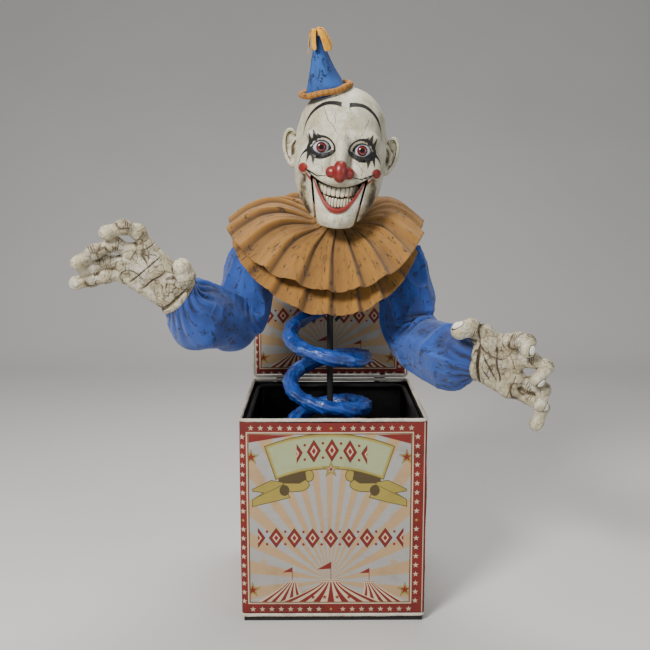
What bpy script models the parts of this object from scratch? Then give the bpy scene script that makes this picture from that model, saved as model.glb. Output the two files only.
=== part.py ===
"""Jack-in-the-box clown prop: a fabric box with a hinged lid, and a clown on a rising mast.

Metres, +Z up. The origin is the centre of the base plate's underside, +X is to the viewer's right
and -Y faces the viewer. "Left" and "right" in names are the clown's own, so its right arm is at -X.
"""

import math

import bmesh
import bpy
import numpy as np
from mathutils import Matrix, Vector

# ---- Driving dimensions ----
GAP = 0.0003  # clearance between pieces that touch
BOX_WIDTH = 0.410  # outside of the fabric cover
BOX_TOP = 0.470
BASE_THICK = 0.011
COVER_THICK = 0.003
PIPING_RADIUS = 0.0042
FRAME_RADIUS = 0.006
FRAME_HALF = 0.190  # centre line of the frame's rails
FRAME_CORNER = 0.030
LID_THICK = 0.010

MAST_X = -0.005
INNER_MAST_RADIUS = 0.0075
OUTER_MAST_RADIUS = 0.0105
OUTER_MAST_TOP = 0.320
MAST_WALL = 0.0018
YOKE_Z = 0.848
LIFT_TRAVEL = 0.050  # downwards, from the raised position that is modelled

GEAR_MODULE = 0.002
PINION_TEETH = 16
PRESSURE_ANGLE = math.radians(20)
BACKLASH = 0.0006
PINION_Z = 0.270

COIL_CENTRE_X = -0.010
COIL_RADIUS = 0.090
COIL_TUBE_RADIUS = 0.019
COIL_PITCH = 0.118
COIL_TILT = 0.013  # how much higher the coil runs behind than in front

NECK = Vector((0.008, -0.030, 0.0))  # the head turns about the upright line through this point
HEAD = Vector((0.0175, -0.060, 1.044))  # middle of the eye line, where the head's own frame sits
HEAD_ROLL = math.radians(5)
SKIN_THICK = 0.004

RIGHT_ARM = {"side": -1, "shoulder": (-0.185, 0.0, 0.845), "elbow": (-0.215, -0.020, 0.645),
             "wrist": (-0.320, -0.165, 0.722), "palm": (-0.396, -0.200, 0.794)}
LEFT_ARM = {"side": 1, "shoulder": (0.165, 0.0, 0.840), "elbow": (0.182, -0.030, 0.610),
            "wrist": (0.297, -0.188, 0.601), "palm": (0.350, -0.217, 0.597)}

# Fingers: knuckle to tip, from the wrist.
RIGHT_FINGERS = {
    "index": ((-0.073, -0.040, 0.120), (-0.086, -0.052, 0.150), (-0.111, -0.072, 0.161), (-0.144, -0.082, 0.150)),
    "middle": ((-0.102, -0.044, 0.107), (-0.133, -0.060, 0.126), (-0.174, -0.070, 0.110), (-0.208, -0.070, 0.088)),
    "ring": ((-0.116, -0.038, 0.085), (-0.157, -0.045, 0.090), (-0.181, -0.050, 0.080), (-0.200, -0.050, 0.073)),
    "little": ((-0.130, -0.030, 0.063), (-0.159, -0.040, 0.058), (-0.189, -0.040, 0.050), (-0.221, -0.040, 0.043)),
    "thumb": ((-0.024, -0.022, 0.036), (0.000, -0.042, 0.046), (0.012, -0.060, 0.058), (0.006, -0.068, 0.078)),
}
LEFT_FINGERS = {
    "index": ((0.072, -0.037, 0.040), (0.088, -0.057, 0.048), (0.105, -0.072, 0.046), (0.103, -0.082, 0.031)),
    "middle": ((0.088, -0.037, -0.003), (0.120, -0.052, 0.004), (0.147, -0.062, -0.009), (0.129, -0.072, -0.034)),
    "ring": ((0.090, -0.032, -0.040), (0.120, -0.042, -0.050), (0.146, -0.052, -0.060), (0.141, -0.057, -0.090)),
    "little": ((0.078, -0.027, -0.066), (0.120, -0.032, -0.080), (0.148, -0.042, -0.102), (0.137, -0.047, -0.136)),
    "thumb": ((0.032, -0.020, 0.030), (0.021, -0.032, 0.056), (-0.011, -0.047, 0.072), (-0.033, -0.052, 0.068)),
}

# Head sections, top down: height over the eye line, half width, and reach to the front and the back.
HEAD_SECTIONS = (
    (0.139, 0.024, 0.028, 0.030),
    (0.130, 0.051, 0.050, 0.060),
    (0.110, 0.075, 0.076, 0.093),
    (0.080, 0.092, 0.097, 0.115),
    (0.040, 0.102, 0.110, 0.126),
    (0.000, 0.103, 0.115, 0.124),
    (-0.040, 0.101, 0.115, 0.106),
    (-0.080, 0.094, 0.115, 0.070),
    (-0.115, 0.078, 0.114, 0.030),
    (-0.145, 0.054, 0.111, -0.012),
    (-0.165, 0.032, 0.104, -0.045),
)


# ---- Scene helpers ----
def start_scene():
    for old in list(bpy.data.objects):
        bpy.data.objects.remove(old, do_unlink=True)
    collections = {}
    for name in ("jack_in_the_box", "cutters"):
        collections[name] = bpy.data.collections.new(name)
        bpy.context.scene.collection.children.link(collections[name])
    return collections["jack_in_the_box"], collections["cutters"]


PARTS, CUTTERS = start_scene()


def material(name, colour, roughness, metallic=0.0):
    made = bpy.data.materials.new(name)
    made.use_nodes = True
    shader = made.node_tree.nodes["Principled BSDF"]
    shader.inputs["Base Color"].default_value = (*colour, 1.0)
    shader.inputs["Roughness"].default_value = roughness
    shader.inputs["Metallic"].default_value = metallic
    return made


def object_from(name, mesh, look=None, parent=None):
    """A named object in the parts, or without a material a hidden cutter."""
    made = bpy.data.objects.new(name, mesh)
    made.parent = parent
    if look is None:
        CUTTERS.objects.link(made)
        made.hide_render = True
        made.display_type = "WIRE"
    else:
        PARTS.objects.link(made)
        mesh.materials.append(look)
    return made


def mesh_from(name, body):
    mesh = bpy.data.meshes.new(name)
    bmesh.ops.recalc_face_normals(body, faces=body.faces)
    body.to_mesh(mesh)
    body.free()
    return mesh


def smooth(made, degrees=35):
    made.data.shade_smooth()
    made.data.set_sharp_from_angle(angle=math.radians(degrees))
    return made


def bevel(made, width, segments=2):
    rounding = made.modifiers.new("bevel", "BEVEL")
    rounding.width = width
    rounding.segments = segments
    rounding.limit_method = "ANGLE"
    return made


def boolean(made, other, operation):
    cut = made.modifiers.new(operation.lower(), "BOOLEAN")
    cut.operation = operation
    cut.object = other
    cut.solver = "EXACT"
    return made


def block(name, low, high, look=None, parent=None):
    low, high = Vector(low), Vector(high)
    body = bmesh.new()
    bmesh.ops.create_cube(body, size=1.0)
    bmesh.ops.scale(body, vec=high - low, verts=body.verts)
    bmesh.ops.translate(body, vec=(low + high) / 2, verts=body.verts)
    return object_from(name, mesh_from(name, body), look, parent)


def rod(name, start, end, radius, look=None, parent=None, end_radius=None, sides=16):
    """A cylinder, or a cone where end_radius differs, between two points."""
    start, end = Vector(start), Vector(end)
    along = end - start
    place = Matrix.Translation((start + end) / 2) @ along.to_track_quat("Z", "Y").to_matrix().to_4x4()
    body = bmesh.new()
    bmesh.ops.create_cone(
        body, cap_ends=True, segments=sides, radius1=radius,
        radius2=radius if end_radius is None else end_radius, depth=along.length, matrix=place)
    return smooth(object_from(name, mesh_from(name, body), look, parent))


def ball(name, centre, radii, look=None, parent=None, sides=16, tilt=0.0):
    """An ellipsoid, turned by tilt about Y."""
    body = bmesh.new()
    bmesh.ops.create_uvsphere(body, u_segments=sides, v_segments=sides * 2 // 3, radius=1.0)
    bmesh.ops.scale(body, vec=radii, verts=body.verts)
    place = Matrix.Translation(centre) @ Matrix.Rotation(tilt, 4, "Y")
    bmesh.ops.transform(body, matrix=place, verts=body.verts)
    return smooth(object_from(name, mesh_from(name, body), look, parent))


def turned(name, profile, place, look=None, parent=None, steps=24, closed=True):
    """A Screw about Z of (radius, height) points, moved to its place. A closed profile never meets Z."""
    mesh = bpy.data.meshes.new(name)
    edges = [(i, i + 1) for i in range(len(profile) - 1)]
    if closed:
        edges.append((len(profile) - 1, 0))
    mesh.from_pydata([(radius, 0.0, height) for radius, height in profile], edges, [])
    made = object_from(name, mesh, look, parent)
    made.matrix_local = place
    screw = made.modifiers.new("screw", "SCREW")
    screw.steps = screw.render_steps = steps
    screw.use_merge_vertices = True
    screw.merge_threshold = 0.00005
    screw.use_smooth_shade = True
    return made


def pipe(name, outer, inner, low, high, x, y, look, steps=24):
    """An upright tube."""
    profile = [(outer, high), (outer, low), (inner, low), (inner, high)]
    return turned(name, profile, Matrix.Translation((x, y, 0)), look, steps=steps)


def as_mesh(curve_object, look):
    """The curve's evaluated mesh, welded, as an object of the same name."""
    bpy.context.view_layer.update()
    graph = bpy.context.evaluated_depsgraph_get()
    mesh = bpy.data.meshes.new_from_object(curve_object.evaluated_get(graph))
    body = bmesh.new()
    body.from_mesh(mesh)
    bmesh.ops.remove_doubles(body, verts=body.verts, dist=0.00001)
    bmesh.ops.recalc_face_normals(body, faces=body.faces)
    body.to_mesh(mesh)
    body.free()
    name, parent, place = curve_object.name, curve_object.parent, curve_object.matrix_world.copy()
    bpy.data.objects.remove(curve_object, do_unlink=True)
    mesh.materials.clear()
    made = object_from(name, mesh, look, parent)
    made.matrix_world = place
    return made


def wire(name, points, radius, look, cyclic=False, parent=None):
    """A round bar along straight stretches between points."""
    curve = bpy.data.curves.new(name, "CURVE")
    curve.dimensions = "3D"
    curve.bevel_depth = radius
    curve.bevel_resolution = 2
    curve.use_fill_caps = True
    spline = curve.splines.new("POLY")
    spline.points.add(len(points) - 1)
    for point, place in zip(spline.points, points):
        point.co = (*place, 1.0)
    spline.use_cyclic_u = cyclic
    made = object_from(name, curve, look, parent)
    return smooth(as_mesh(made, look), 50)


def plate(name, loops, depth, place, look=None):
    """Flat outlines filled and extruded by depth, half to each side, then moved to their place."""
    curve = bpy.data.curves.new(name, "CURVE")
    curve.dimensions = "2D"
    curve.fill_mode = "BOTH"
    curve.extrude = depth / 2
    for loop in loops:
        spline = curve.splines.new("POLY")
        spline.points.add(len(loop) - 1)
        for point, (x, y) in zip(spline.points, loop):
            point.co = (x, y, 0.0, 1.0)
        spline.use_cyclic_u = True
    made = bpy.data.objects.new(name, curve)
    PARTS.objects.link(made)
    made.matrix_world = place
    return as_mesh(made, look)


def loft(name, rings, look=None, parent=None, closed=False):
    """A skin over rings of equal length. Closed, it joins the last ring to the first; if not, it caps both."""
    body = bmesh.new()
    loops = [[body.verts.new(point) for point in ring] for ring in rings]
    pairs = list(zip(loops, loops[1:]))
    if closed:
        pairs.append((loops[-1], loops[0]))
    else:
        body.faces.new(loops[0])
        body.faces.new(loops[-1])
    for first, second in pairs:
        for i in range(len(first)):
            j = (i + 1) % len(first)
            body.faces.new((first[i], first[j], second[j], second[i]))
    return smooth(object_from(name, mesh_from(name, body), look, parent), 50)


def ring_round(centre, across, up, radius, sides):
    """A circle of points in the plane of two unit directions."""
    angles = [2 * math.pi * i / sides for i in range(sides)]
    return [centre + across * (radius * math.cos(a)) + up * (radius * math.sin(a)) for a in angles]


def square_with_round_corners(half_x, half_y, corner, steps=4):
    """Points of a rounded rectangle about the origin, counter-clockwise."""
    points = []
    for quarter, (side_x, side_y) in enumerate(((1, 1), (-1, 1), (-1, -1), (1, -1))):
        for step in range(steps + 1):
            angle = math.radians(90) * (quarter + step / steps)
            points.append((side_x * (half_x - corner) + corner * math.cos(angle),
                           side_y * (half_y - corner) + corner * math.sin(angle)))
    return points


# ---- Materials ----
BLACK_STEEL = material("black_steel", (0.012, 0.012, 0.013), 0.45, 0.6)
BLACK_PLASTIC = material("black_plastic", (0.018, 0.018, 0.02), 0.5)
GREY_STEEL = material("bright_steel", (0.42, 0.42, 0.44), 0.35, 1.0)
PRINT = material("printed_fabric", (0.62, 0.42, 0.30), 0.85)
PIPING = material("white_piping", (0.72, 0.68, 0.60), 0.8)
SATIN = material("blue_satin", (0.02, 0.09, 0.42), 0.35)
BLUE_CLOTH = material("blue_cloth", (0.03, 0.10, 0.42), 0.8)
OCHRE_CLOTH = material("ochre_cloth", (0.50, 0.29, 0.06), 0.85)
IVORY = material("ivory_latex", (0.62, 0.58, 0.46), 0.6)
TEETH = material("teeth", (0.70, 0.66, 0.52), 0.35)
RED = material("red_paint", (0.45, 0.02, 0.02), 0.35)
EYE = material("eye", (0.75, 0.72, 0.68), 0.15)
NYLON = material("white_nylon", (0.75, 0.75, 0.72), 0.4)


# ---- The box ----
def make_base():
    half = 0.2005
    base = block("base_plate", (-half, -half, 0), (half, half, BASE_THICK), BLACK_PLASTIC)
    bevel(base, 0.0015)


def make_frame():
    outline = square_with_round_corners(FRAME_HALF, FRAME_HALF, FRAME_CORNER)
    bottom = BASE_THICK + GAP + FRAME_RADIUS
    top = 0.452
    for name, height in (("bottom_ring", bottom), ("top_ring", top)):
        wire(name, [(x, y, height) for x, y in outline], FRAME_RADIUS, BLACK_STEEL, cyclic=True)
    corner = FRAME_HALF - FRAME_CORNER * (1 - math.sqrt(0.5))
    for name, side_x, side_y in (("corner_post_front_left", 1, -1), ("corner_post_front_right", -1, -1),
                                 ("corner_post_rear_left", 1, 1), ("corner_post_rear_right", -1, 1)):
        pipe(name, FRAME_RADIUS, FRAME_RADIUS - 0.0015, bottom + FRAME_RADIUS + GAP, top - FRAME_RADIUS - GAP,
             side_x * corner, side_y * corner, BLACK_STEEL, steps=12)


def make_cover():
    """Four sewn fabric sides in one, with a cut-out at the back for the switch and the inlet."""
    half = BOX_WIDTH / 2
    low = BASE_THICK + 2 * GAP + 2 * PIPING_RADIUS
    high = BOX_TOP - 2 * PIPING_RADIUS - GAP
    outer = square_with_round_corners(half, half, 0.008, steps=2)
    inner = square_with_round_corners(half - COVER_THICK, half - COVER_THICK, 0.005, steps=2)
    rings = [[Vector((x, y, z)) for x, y in outline]
             for outline, z in ((outer, low), (outer, high), (inner, high), (inner, low))]
    cover = loft("box_cover", rings, PRINT, closed=True)
    cutter = block("rear_cut_out", (-0.150, 0.19, 0.045), (-0.090, 0.22, 0.090))
    boolean(cover, cutter, "DIFFERENCE")
    edge = [(x, y) for x, y in square_with_round_corners(0.2033, 0.2033, 0.010)]
    for name, height in (("bottom_piping", BASE_THICK + GAP + PIPING_RADIUS),
                         ("top_piping", BOX_TOP - PIPING_RADIUS)):
        wire(name, [(x, y, height) for x, y in edge], PIPING_RADIUS, PIPING, cyclic=True)


LID_Y = 0.2045
LID_LOW = BOX_TOP + 0.001 + PIPING_RADIUS  # centre line of the lid's lower piping
LID_HIGH = LID_LOW + 0.402
HINGE_Y = 0.2127
HINGE_Z = 0.4705
HINGE_RADIUS = 0.0040


def make_lid():
    half = 0.203
    middle = (LID_LOW + LID_HIGH) / 2
    tall = (LID_HIGH - LID_LOW) / 2
    outline = square_with_round_corners(half, tall, 0.010)
    wire("lid_piping", [(x, LID_Y, middle + z) for x, z in outline], PIPING_RADIUS, PIPING, cyclic=True)
    inside = PIPING_RADIUS + 0.0015
    panel = block("lid_panel", (-half + inside, LID_Y - LID_THICK / 2, LID_LOW + inside),
                  (half - inside, LID_Y + LID_THICK / 2, LID_HIGH - inside), PRINT)
    bevel(panel, 0.002)


def hinge_leaf(name, x, up):
    """A leaf and its knuckle, as one bent profile along X. The lid's leaf stands up, the box's hangs down."""
    back = (LID_Y + LID_THICK / 2 if up else BOX_WIDTH / 2) + GAP
    near = 0.0095  # where the leaf's pad starts, clear of the piping
    outline = [(back, near), (back, 0.040), (0.2105, 0.040), (0.2105, 0.003)]
    for step in range(9):
        angle = math.radians(140 - step * 30)
        outline.append((HINGE_Y + HINGE_RADIUS * math.cos(angle), HINGE_RADIUS * math.sin(angle)))
    outline.append((0.2092, near))
    if not up:
        outline = [(y, -z) for y, z in outline]
    place = Matrix.Translation((x, 0, HINGE_Z)) @ Matrix(((0, 0, 1, 0), (1, 0, 0, 0), (0, 1, 0, 0), (0, 0, 0, 1)))
    plate(name, [outline], 0.014, place, GREY_STEEL)


def make_hinges():
    for side, x in (("right", -0.13), ("left", 0.13)):
        hinge_leaf("box_hinge_leaf_" + side, x - 0.0073, up=False)
        hinge_leaf("lid_hinge_leaf_" + side, x + 0.0073, up=True)


# ---- Drive ----
def make_mast():
    pipe("outer_mast", OUTER_MAST_RADIUS, INNER_MAST_RADIUS + 0.0006, 0.017, OUTER_MAST_TOP, MAST_X, 0, BLACK_STEEL)
    low = BASE_THICK + GAP
    bore = OUTER_MAST_RADIUS + GAP
    socket = [(0.016, 0.050), (0.018, low + 0.006), (0.045, low + 0.005), (0.045, low), (0.002, low),
              (0.002, 0.0165), (bore, 0.0165), (bore, 0.050)]
    turned("mast_socket", socket, Matrix.Translation((MAST_X, 0, 0)), BLACK_STEEL)
    pipe("inner_mast", INNER_MAST_RADIUS, INNER_MAST_RADIUS - MAST_WALL, 0.100, YOKE_Z - 0.0095, MAST_X, 0,
         BLACK_STEEL)


RACK_BACK_X = MAST_X - 0.0175
RACK_PITCH_X = RACK_BACK_X - 0.0065
PITCH_RADIUS = GEAR_MODULE * PINION_TEETH / 2
PINION_X = RACK_PITCH_X - PITCH_RADIUS
GEAR_WIDTH = 0.008


def involute(angle):
    return math.tan(angle) - angle


def pinion_outline():
    """Involute teeth, with the first pointing along +X."""
    base = PITCH_RADIUS * math.cos(PRESSURE_ANGLE)
    root = PITCH_RADIUS - 1.25 * GEAR_MODULE
    tip = PITCH_RADIUS + 0.9 * GEAR_MODULE
    half = math.pi / (2 * PINION_TEETH) - BACKLASH / (2 * PITCH_RADIUS)
    flank = [(root, base), (base, base), (PITCH_RADIUS, PITCH_RADIUS), (tip, tip)]
    points = []
    for tooth in range(PINION_TEETH):
        middle = 2 * math.pi * tooth / PINION_TEETH
        turns = [(radius, half + involute(PRESSURE_ANGLE) - involute(math.acos(base / at))) for radius, at in flank]
        for radius, turn in [(r, -t) for r, t in turns] + turns[::-1]:
            points.append((radius * math.cos(middle + turn), radius * math.sin(middle + turn)))
    return points


def rack_outline(low, high, teeth_low, teeth_high):
    """A bar with straight-sided teeth towards -X, and a gap between two teeth at the pinion's height."""
    pitch = math.pi * GEAR_MODULE
    half = pitch / 4 - BACKLASH / 2
    slope = math.tan(PRESSURE_ANGLE)
    root, tip = RACK_PITCH_X + 1.25 * GEAR_MODULE, RACK_PITCH_X - 0.9 * GEAR_MODULE
    points = [(RACK_BACK_X, high), (root, high)]
    first = math.floor((teeth_high - PINION_Z) / pitch - 0.5)
    last = math.ceil((teeth_low - PINION_Z) / pitch - 0.5)
    for tooth in range(first, last - 1, -1):
        middle = PINION_Z + (tooth + 0.5) * pitch
        at_root = half + 1.25 * GEAR_MODULE * slope
        at_tip = half - 0.9 * GEAR_MODULE * slope
        points += [(root, middle + at_root), (tip, middle + at_tip), (tip, middle - at_tip), (root, middle - at_root)]
    return points + [(root, low), (RACK_BACK_X, low)]


UPRIGHT = Matrix(((1, 0, 0, 0), (0, 0, -1, 0), (0, 1, 0, 0), (0, 0, 0, 1)))  # drawn X, Y to world X, Z


def make_rack_and_pinion():
    rack = plate("rack", [rack_outline(0.235, 0.395, 0.245, 0.345)], GEAR_WIDTH, UPRIGHT, NYLON)
    arm = block("rack_arm", (RACK_BACK_X - 0.003, -0.003, 0.384), (MAST_X - 0.009, 0.003, 0.394))
    ring = turned("rack_ring", [(0.0125, 0.398), (0.0125, 0.380), (0.0078, 0.380), (0.0078, 0.398)],
                  Matrix.Translation((MAST_X, 0, 0)))
    boolean(boolean(rack, arm, "UNION"), ring, "UNION")
    pinion = plate("pinion", [pinion_outline()], GEAR_WIDTH, Matrix.Translation((PINION_X, 0, PINION_Z)) @ UPRIGHT,
                   NYLON)
    shaft = rod("pinion_shaft", (PINION_X, -0.006, PINION_Z), (PINION_X, 0.0072, PINION_Z), 0.003)
    boolean(pinion, shaft, "UNION")


def make_gear_motor():
    """Gearbox and motor can on a clamp round the outer mast."""
    motor = block("gear_motor", (-0.062, 0.0075, 0.245), (-0.030, 0.030, 0.295), BLACK_PLASTIC)
    can = rod("motor_can", (-0.046, 0.019, 0.185), (-0.046, 0.019, 0.247), 0.0112)
    arm = block("motor_arm", (-0.032, 0.0085, 0.262), (-0.0125, 0.014, 0.278))
    clamp = turned("motor_clamp", [(0.0155, 0.280), (0.0155, 0.260), (0.0108, 0.260), (0.0108, 0.280)],
                   Matrix.Translation((MAST_X, 0, 0)))
    for piece in (can, arm, clamp):
        boolean(motor, piece, "UNION")


def make_electrics():
    control = block("control_box", (-0.160, 0.150, 0.035), (-0.080, 0.2013, 0.100), BLACK_PLASTIC)
    bevel(control, 0.002)
    switch = block("power_switch", (-0.142, 0.2035, 0.0575), (-0.128, 0.2075, 0.0775), BLACK_PLASTIC)
    bevel(switch, 0.0008)
    face_back = Matrix.Translation((-0.106, 0.2016, 0.0675)) @ Matrix.Rotation(math.radians(-90), 4, "X")
    turned("dc_inlet", [(0.0060, 0.0035), (0.0060, 0.0), (0.0028, 0.0), (0.0028, 0.0035)], face_back, GREY_STEEL,
           steps=16)
    cone = [(0.033, 0.026), (0.033, 0.022), (0.022, 0.008), (0.020, 0.0), (0.004, 0.0), (0.004, 0.010), (0.013, 0.012),
            (0.029, 0.026)]
    turned("speaker", cone, Matrix.Translation((0.125, -0.125, BASE_THICK + GAP)), BLACK_PLASTIC)


# ---- The figure's frame and clothes ----
def coil_point(degrees):
    """The coil's centre line. It goes down as the angle grows, from left to right across the front."""
    angle = math.radians(degrees)
    height = 0.565 - COIL_PITCH * degrees / 360 + COIL_TILT * math.sin(angle)
    if degrees < -230:
        height += 0.030 * ((-230 - degrees) / 60) ** 2
    return Vector((COIL_CENTRE_X + COIL_RADIUS * math.cos(angle), COIL_RADIUS * math.sin(angle), height))


def make_coil():
    first, last, step = -290, 1570, 24
    points = [coil_point(degrees) for degrees in np.arange(first, last + 1, step)]
    wire("body_spring", points, COIL_TUBE_RADIUS, SATIN)


def make_figure_frame():
    rod("shoulder_yoke", (-0.160, 0, YOKE_Z), (0.140, 0, YOKE_Z), 0.009, BLACK_STEEL)
    wire("mast_brace", [(MAST_X + 0.013, 0, 0.655), (0.030, 0, 0.675), (0.070, 0, 0.834)], 0.004, BLACK_STEEL)
    pipe("torso_plate", 0.088, INNER_MAST_RADIUS + GAP, 0.7215, 0.7270, MAST_X, 0, BLACK_PLASTIC)
    hole = block("brace_slot", (0.030, -0.008, 0.715), (0.070, 0.008, 0.735))
    boolean(bpy.data.objects["torso_plate"], hole, "DIFFERENCE")
    servo = block("neck_servo", (NECK.x - 0.020, NECK.y - 0.014, YOKE_Z + 0.0095),
                  (NECK.x + 0.020, NECK.y + 0.046, 0.900), BLACK_PLASTIC)
    bevel(servo, 0.002)


def shirt_ring(height, half_x, half_y, sides=28):
    angles = [2 * math.pi * i / sides for i in range(sides)]
    return [Vector((MAST_X + half_x * math.cos(a), half_y * math.sin(a), height)) for a in angles]


def make_shirt():
    thick = 0.003
    sections = ((0.702, 0.100, 0.118), (0.760, 0.099, 0.108), (0.832, 0.092, 0.078))
    outside = [shirt_ring(*section) for section in sections]
    inside = [shirt_ring(z, x - thick, y - thick) for z, x, y in sections[::-1]]
    loft("shirt", outside + inside, BLUE_CLOTH, closed=True)


COLLAR_THICK = 0.003
COLLAR_RING = Vector((0.006, -0.022))  # where the ruffs close round the neck
COLLAR_RING_RADIUS = 0.058
UPPER_COLLAR = {"drop": 0.0, "front": 0.115, "fall": 1.5, "side_z": 0.885, "back": 0.050,
                "reach": (0.205, 0.228, 0.165), "arch": 0.040}
LOWER_COLLAR = {"drop": 0.010, "front": 0.166, "fall": 1.1, "side_z": 0.862, "back": 0.035,
                "reach": (0.192, 0.215, 0.160), "arch": 0.022}


def collar_point(shape, angle, across, lower):
    """A point of a ruff, at an angle from the front and a share of the way from the neck to its edge."""
    facing = math.cos(angle)
    forward, backward = max(facing, 0.0), max(-facing, 0.0)
    front, side, back = shape["reach"]
    side += 0.017 * -math.sin(angle)  # it hangs a little wider over the right arm
    reach = side + (front - side) * forward ** 2 + (back - side) * backward ** 2
    edge_z = shape["side_z"] - shape["front"] * forward ** shape["fall"] + shape["back"] * backward
    neck_z = 0.898 - 0.045 * facing - shape["drop"]
    inner = Vector((COLLAR_RING.x + COLLAR_RING_RADIUS * math.sin(angle), COLLAR_RING.y - COLLAR_RING_RADIUS * facing))
    outer = Vector((reach * math.sin(angle), -reach * facing))
    place = inner.lerp(outer, across)
    height = neck_z + (edge_z - neck_z) * across
    height += shape["arch"] * (1 - 0.75 * forward) * (1 - 0.6 * backward) * math.sin(math.pi * across)
    return Vector((place.x, place.y, height - (COLLAR_THICK if lower else 0.0)))


def make_collar(name, shape, sides=36, steps=4):
    angles = [2 * math.pi * i / sides for i in range(sides)]
    shares = [step / steps for step in range(steps + 1)]
    rings = [[collar_point(shape, a, share, False) for a in angles] for share in shares]
    rings += [[collar_point(shape, a, share, True) for a in angles] for share in shares[::-1]]
    loft(name, rings, OCHRE_CLOTH, closed=True)


# ---- The head ----
def head_solid(name, frame, grow=0.0, look=None, sides=24, sections=HEAD_SECTIONS):
    """The egg of the head, grown or shrunk evenly by a distance."""
    rings = []
    for height, half, front, back in sections:
        middle = (back - front) / 2
        deep = (back + front) / 2 + grow
        wide = half + grow
        ring = []
        for i in range(sides):
            angle = 2 * math.pi * i / sides
            ring.append(Vector((wide * math.cos(angle), middle + deep * math.sin(angle), height)))
        rings.append(ring)
    for ring, shift in ((rings[0], grow), (rings[-1], -grow)):
        for point in ring:
            point.z += shift
    return loft(name, rings, look, frame)


def head_frame():
    """An empty that tips the head to its left, with the head's own frame at the middle of its eye line."""
    frame = bpy.data.objects.new("head_frame", None)
    PARTS.objects.link(frame)
    frame.location = HEAD
    frame.rotation_euler = (0, HEAD_ROLL, 0)
    return frame


JAW_TOP = -0.071
JAW_HALF = 0.0605
JAW_PIVOT = Vector((0, -0.020, -0.045))
SHELL_LOW = -0.128


def make_head_shell(frame):
    shell = head_solid("head_shell", frame, look=IVORY)
    boolean(shell, head_solid("head_hollow", frame, grow=-SKIN_THICK), "DIFFERENCE")
    boolean(shell, block("neck_opening", (-0.12, -0.15, -0.20), (0.12, 0.14, SHELL_LOW), parent=frame), "DIFFERENCE")
    boolean(shell, rod("neck_hole", (0, 0.03, -0.20), (0, 0.03, -0.062), 0.036, parent=frame), "DIFFERENCE")
    side = JAW_HALF + 0.0015
    slot = block("jaw_slot", (-side, -0.15, -0.20), (side, -0.025, JAW_TOP + 0.0015), parent=frame)
    boolean(shell, slot, "DIFFERENCE")
    for name, x in (("right_eye", -0.0435), ("left_eye", 0.0435)):
        centre = (x, -0.084, 0.0)
        ball(name, centre, (0.0215,) * 3, EYE, frame)
        boolean(shell, ball(name + "_socket", centre, (0.0220,) * 3, parent=frame), "DIFFERENCE")


def make_jaw(frame):
    jaw = head_solid("jaw_shell", frame, look=IVORY)
    boolean(jaw, block("jaw_keep", (-JAW_HALF, -0.15, -0.20), (JAW_HALF, -0.0415, JAW_TOP), parent=frame), "INTERSECT")
    boolean(jaw, head_solid("jaw_hollow", frame, grow=-SKIN_THICK), "DIFFERENCE")
    mouth = ball("mouth_cutter", (0, -0.12, -0.070), (0.051, 0.090, 0.056), parent=frame, sides=24)
    boolean(jaw, mouth, "DIFFERENCE")
    reach, inner = 0.047, Vector((0, -0.0465, -0.118))
    path = [(-reach, inner.y, inner.z), (-reach, JAW_PIVOT.y, JAW_PIVOT.z), (reach, JAW_PIVOT.y, JAW_PIVOT.z),
            (reach, inner.y, inner.z)]
    axle = wire("jaw_axle", path, 0.003, GREY_STEEL, parent=frame)
    axle.matrix_parent_inverse = Matrix.Identity(4)
    axle.matrix_basis = Matrix.Identity(4)


def dental_arch(name, frame, centre_y, radius, low, high, spread=62, thick=0.007, steps=12):
    """A band of teeth bent round the front of the mouth."""
    rings = []
    for step in range(steps + 1):
        angle = math.radians(-spread + 2 * spread * step / steps)
        ring = []
        for reach, height in ((radius, high), (radius, low), (radius - thick, low), (radius - thick, high)):
            ring.append(Vector((reach * math.sin(angle), centre_y - reach * math.cos(angle), height)))
        rings.append(ring)
    loft(name, rings, TEETH, frame)


def make_nose_and_ears(frame):
    nose = ball("nose", (0, -0.132, -0.047), (0.017, 0.021, 0.020), RED, frame, sides=12)
    for side in (-1, 1):
        lobe = ball("nose_lobe", (side * 0.019, -0.125, -0.050), (0.014, 0.015, 0.013), parent=frame, sides=12)
        boolean(nose, lobe, "UNION")
    face = head_solid("face_cutter", frame, grow=GAP)
    boolean(nose, face, "DIFFERENCE")
    for name, side in (("right_ear", -1), ("left_ear", 1)):
        ear = ball(name, (side * 0.114, 0.004, 0.000), (0.018, 0.014, 0.040), IVORY, frame, tilt=side * 0.20)
        boolean(ear, face, "DIFFERENCE")
    return face


def make_hat(frame, face):
    centre = Vector((-0.045, -0.024, 0.129))
    axis = Vector((-0.32, -0.28, 1.0)).normalized()
    place = Matrix.Translation(centre) @ axis.to_track_quat("Z", "Y").to_matrix().to_4x4()
    tall, wall = 0.112, 0.003
    outside = [(0.004, tall), (0.047, -0.010)]
    inside = [(0.047 - wall, -0.010), (0.0015, tall - 0.010)]
    cone = turned("hat_cone", [(0.0, tall)] + outside + inside + [(0.0, tall - 0.010)], place, BLUE_CLOTH, frame,
                  closed=False)
    boolean(cone, face, "DIFFERENCE")
    sides, tube = 8, 0.0065
    loop = [(0.0550 + tube * math.cos(-2 * math.pi * i / sides), tube * math.sin(-2 * math.pi * i / sides))
            for i in range(sides)]
    brim = turned("hat_brim", loop, place, OCHRE_CLOTH, frame, steps=28)
    boolean(brim, face, "DIFFERENCE")
    tip = tall + 0.0005
    tassel = [(0.0, tip + 0.028), (0.013, tip + 0.026), (0.006, tip + 0.010), (0.0045, tip), (0.0, tip)]
    turned("hat_tassel", tassel, place, OCHRE_CLOTH, frame, steps=12, closed=False)


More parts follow.
